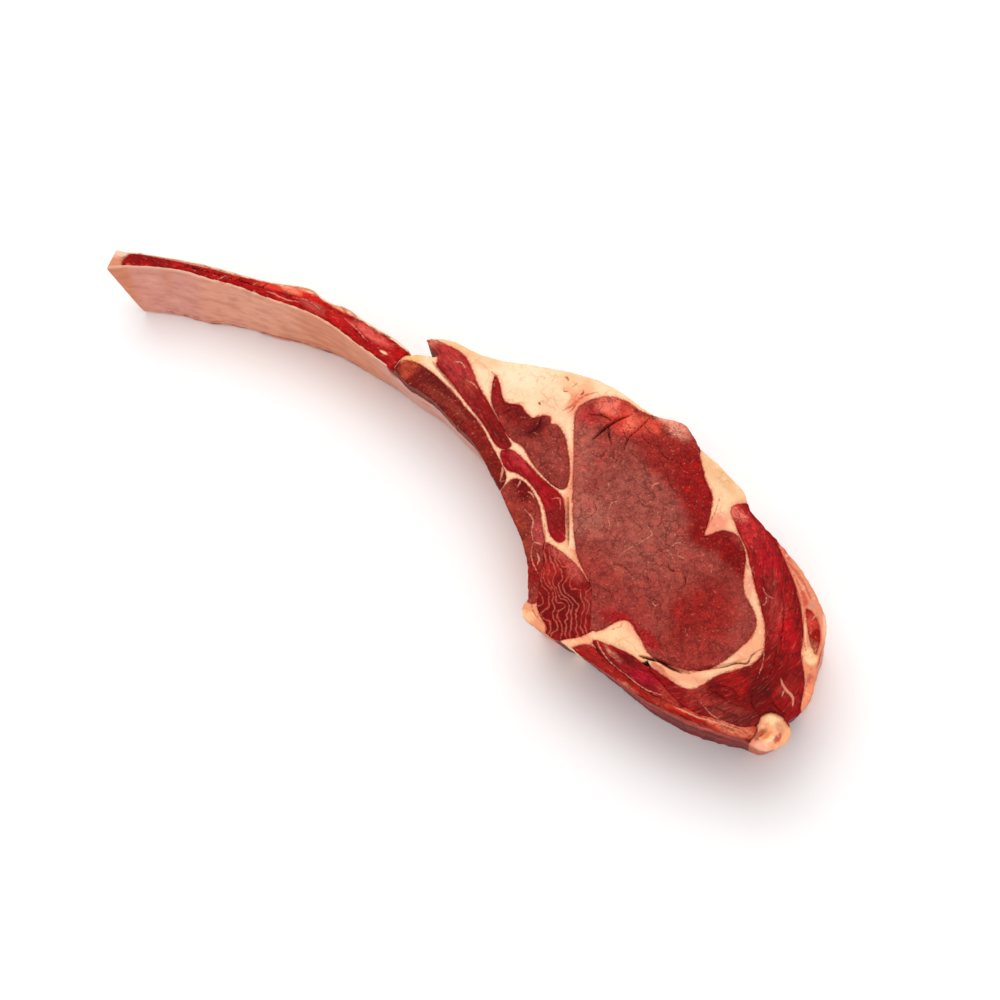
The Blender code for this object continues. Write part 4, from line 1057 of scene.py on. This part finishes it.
slab_piece(
    "cap_of_fat", ["fat_cap"], fat, "fat",
    ((254, 212, 172), [
        (24, 42, 12, 6, 10, (250, 196, 150)), (24, 36, 5, 3, 10, (244, 180, 134)),
        (30, 33, 5, 12, 0, (240, 150, 112)), (-20, 22, 12, 4, 30, (253, 200, 156)),
        (26, 22, 12, 6, -30, (250, 200, 160)), (-32, 20, 10, 4, 20, (250, 190, 140)),
        (2, 30, 14, 8, 35, (255, 222, 186)), (58, -4, 22, 3, -50, (240, 168, 130)),
        (84, -33, 14, 3, -22, (236, 158, 120)), (74, -31, 8, 3, -20, (253, 206, 160)),
        (-49, 0, 6, 5, 30, (238, 190, 120))]),
    FAT_SIDE,
    swell=0.7, swell_size=12.0, drop=0.4,
    veins=[
        ([(37, 27), (42, 18), (50, 8), (56, -1), (59, -7)], 0.45),
        ([(-13, 20), (-10, 19.5), (-7, 18)], 0.4), ([(28, 25), (30, 31), (31, 38), (35, 45)], 0.6),
        ([(58, -24), (62, -29), (67, -34)], 0.3)],
    cracks=[
        ([(17, 41), (19, 41.3), (20, 40)], 0.45), ([(23.4, 38.6), (24, 40), (24, 42.6)], 0.35),
        ([(28.7, 41), (29.7, 40), (29.5, 38)], 0.5), ([(24, 36), (22, 34.6), (21, 36)], 0.3),
        ([(16.4, 22), (17.2, 21.5), (18, 21)], 0.5), ([(31, 33), (31.5, 29), (31, 26)], 0.35),
        ([(60, -9), (65, -15.5), (70, -21.5), (76, -28.5)], 0.45)])

slab_piece(
    "seam_of_fat", ["side_fat"], fat, "fat",
    ((246, 200, 156), [
        (110, 47, 16, 4, -15, (236, 184, 134)), (124, 24, 5, 10, 0, (240, 150, 120)),
        (140, 24, 12, 4, -30, (248, 190, 150)), (174, -12, 6, 14, 8, (243, 172, 130)),
        (158, -46, 14, 4, 20, (240, 170, 130)), (128, 41, 5, 4, 0, (240, 160, 130)),
        (152, 12, 10, 3, -45, (238, 158, 130)), (150, -50, 8, 1.6, 0, (206, 112, 86))]),
    FAT_SIDE,
    swell=0.6, swell_size=9.0, drop=0.4,
    veins=[
        ([(116, 38), (119, 30), (121, 22), (122.5, 17)], 0.4), ([(128, 46), (127, 40), (126, 33)], 0.3)],
    cracks=[
        ([(146, 18.4), (148, 18), (149.6, 16.6)], 0.3), ([(137, -50.5), (141, -49), (146, -46.8)], 0.8),
        ([(144, -47.4), (150, -46.2), (158, -44.6)], 0.8),
        ([(165, -35.8), (170.1, -30.3), (174.2, -24.2),
          (177.7, -21.2), (177.1, -16.6), (178.9, -10.5)], 0.6)])

slab_piece(
    "lower_fat_corner", ["lower_fat"], fat, "fat",
    ((252, 196, 150), [
        (128, -43, 12, 3, -10, (246, 176, 140)), (112, -62, 5, 5, 0, (246, 170, 126)),
        (120, -50, 6, 4, 0, (254, 206, 160))]),
    FAT_SIDE,
    swell=0.5, swell_size=8.0, drop=0.4,
    veins=[([(118, -40), (121, -44), (118, -50)], 0.3)],
    cracks=[
        ([(127, -41.4), (130, -42.6), (133, -42.8)], 0.35), ([(134, -43), (137, -44.2), (140, -44)], 0.3),
        ([(137, -50.5), (141, -49), (146, -46.5)], 0.8)])

slab_piece(
    "near_corner_fat", ["corner_fat"], fat, "fat",
    ((230, 152, 112), [(84, -69, 5, 3, 0, (246, 190, 144))]), ((214, 126, 88), []),
    swell=0.5, swell_size=7.0, drop=0.4,
    veins=[([(80, -62), (86, -66), (94, -68)], 0.5)])

slab_piece(
    "tail_knob", ["tail_fat"], fat, "fat",
    ((246, 176, 128), [
        (206, -51.6, 7, 1.6, 10, (196, 110, 84)), (203.4, -46, 4.4, 2.2, 74, (132, 30, 18)),
        (206.4, -44, 3.4, 1.3, 70, (240, 140, 84)), (211.4, -41, 3, 1.5, 85, (196, 84, 70)),
        (203.4, -36, 3.5, 3, 0, (253, 210, 158)), (209, -37, 4, 2, -20, (222, 148, 110)),
        (208, -50, 8, 3, 10, (218, 132, 102)), (208, -49, 5, 2.4, 30, (246, 176, 146)),
        (209, -44, 2.4, 1.2, 60, (250, 206, 160))], 1.2),
    ((196, 96, 70), [(206, 16, 20, 12, 0, (180, 72, 50))]),
    swell=2.2, swell_size=5.5, drop=0.9, drop_reach=1.6,
    veins=[
        ([(202.6, -42), (203.4, -46), (202.6, -49)], 0.5),
        ([(210, -38), (211.6, -41), (211.4, -44)], 0.45)])

slab_piece(
    "rolled_rim_fat", ["rim_fat"], fat, "fat",
    ((224, 138, 104), [
        (156, 35.4, 8, 2, -20, (206, 84, 68)), (171, 29.5, 9, 2, -30, (228, 146, 110)),
        (179, 21.5, 6, 1.6, -48, (206, 84, 60)), (183.5, 20.6, 1.6, 1.2, 0, (200, 140, 122)),
        (190, 8, 7, 0.9, -56, (250, 206, 160)), (198, 0.6, 4.6, 3.6, 0, (253, 206, 154)),
        (194, 18.5, 10, 1.4, -58, (246, 186, 156)), (203, 4, 2, 6, 20, (170, 44, 34)),
        (205, -10, 3, 4, 20, (198, 100, 80)), (209, -16, 2.4, 8, 14, (240, 140, 96)),
        (201.6, -6, 2.4, 2, 0, (236, 140, 96))], 1.2),
    ((226, 128, 96), [
        (166, 30, 14, 14, 0, (232, 150, 122)), (210, 22, 8, 30, 0, (218, 112, 82))]),
    swell=0.9, swell_size=6.0, drop=0.4,
    veins=[
        ([(158.1, 32.5), (164.2, 31.5), (170.8, 29.7), (177.1, 26.9), (180.9, 24.1)], 0.9),
        ([(160.7, 31.3), (168.4, 28.3), (175.8, 23.9), (180.9, 20.2)], 0.4),
        ([(182.2, 18.5), (185.3, 12.0), (191.2, 5.0), (195.5, 0.8)], 0.45),
        ([(187.3, 20.2), (192.7, 15.5), (197.8, 9.3), (201.0, 2.8)], 0.5),
        ([(202.4, -3.8), (205.7, -11.3), (209.0, -18.8)], 0.4),
        ([(181, 16.8), (176, 21.6), (170, 26)], 0.3)])
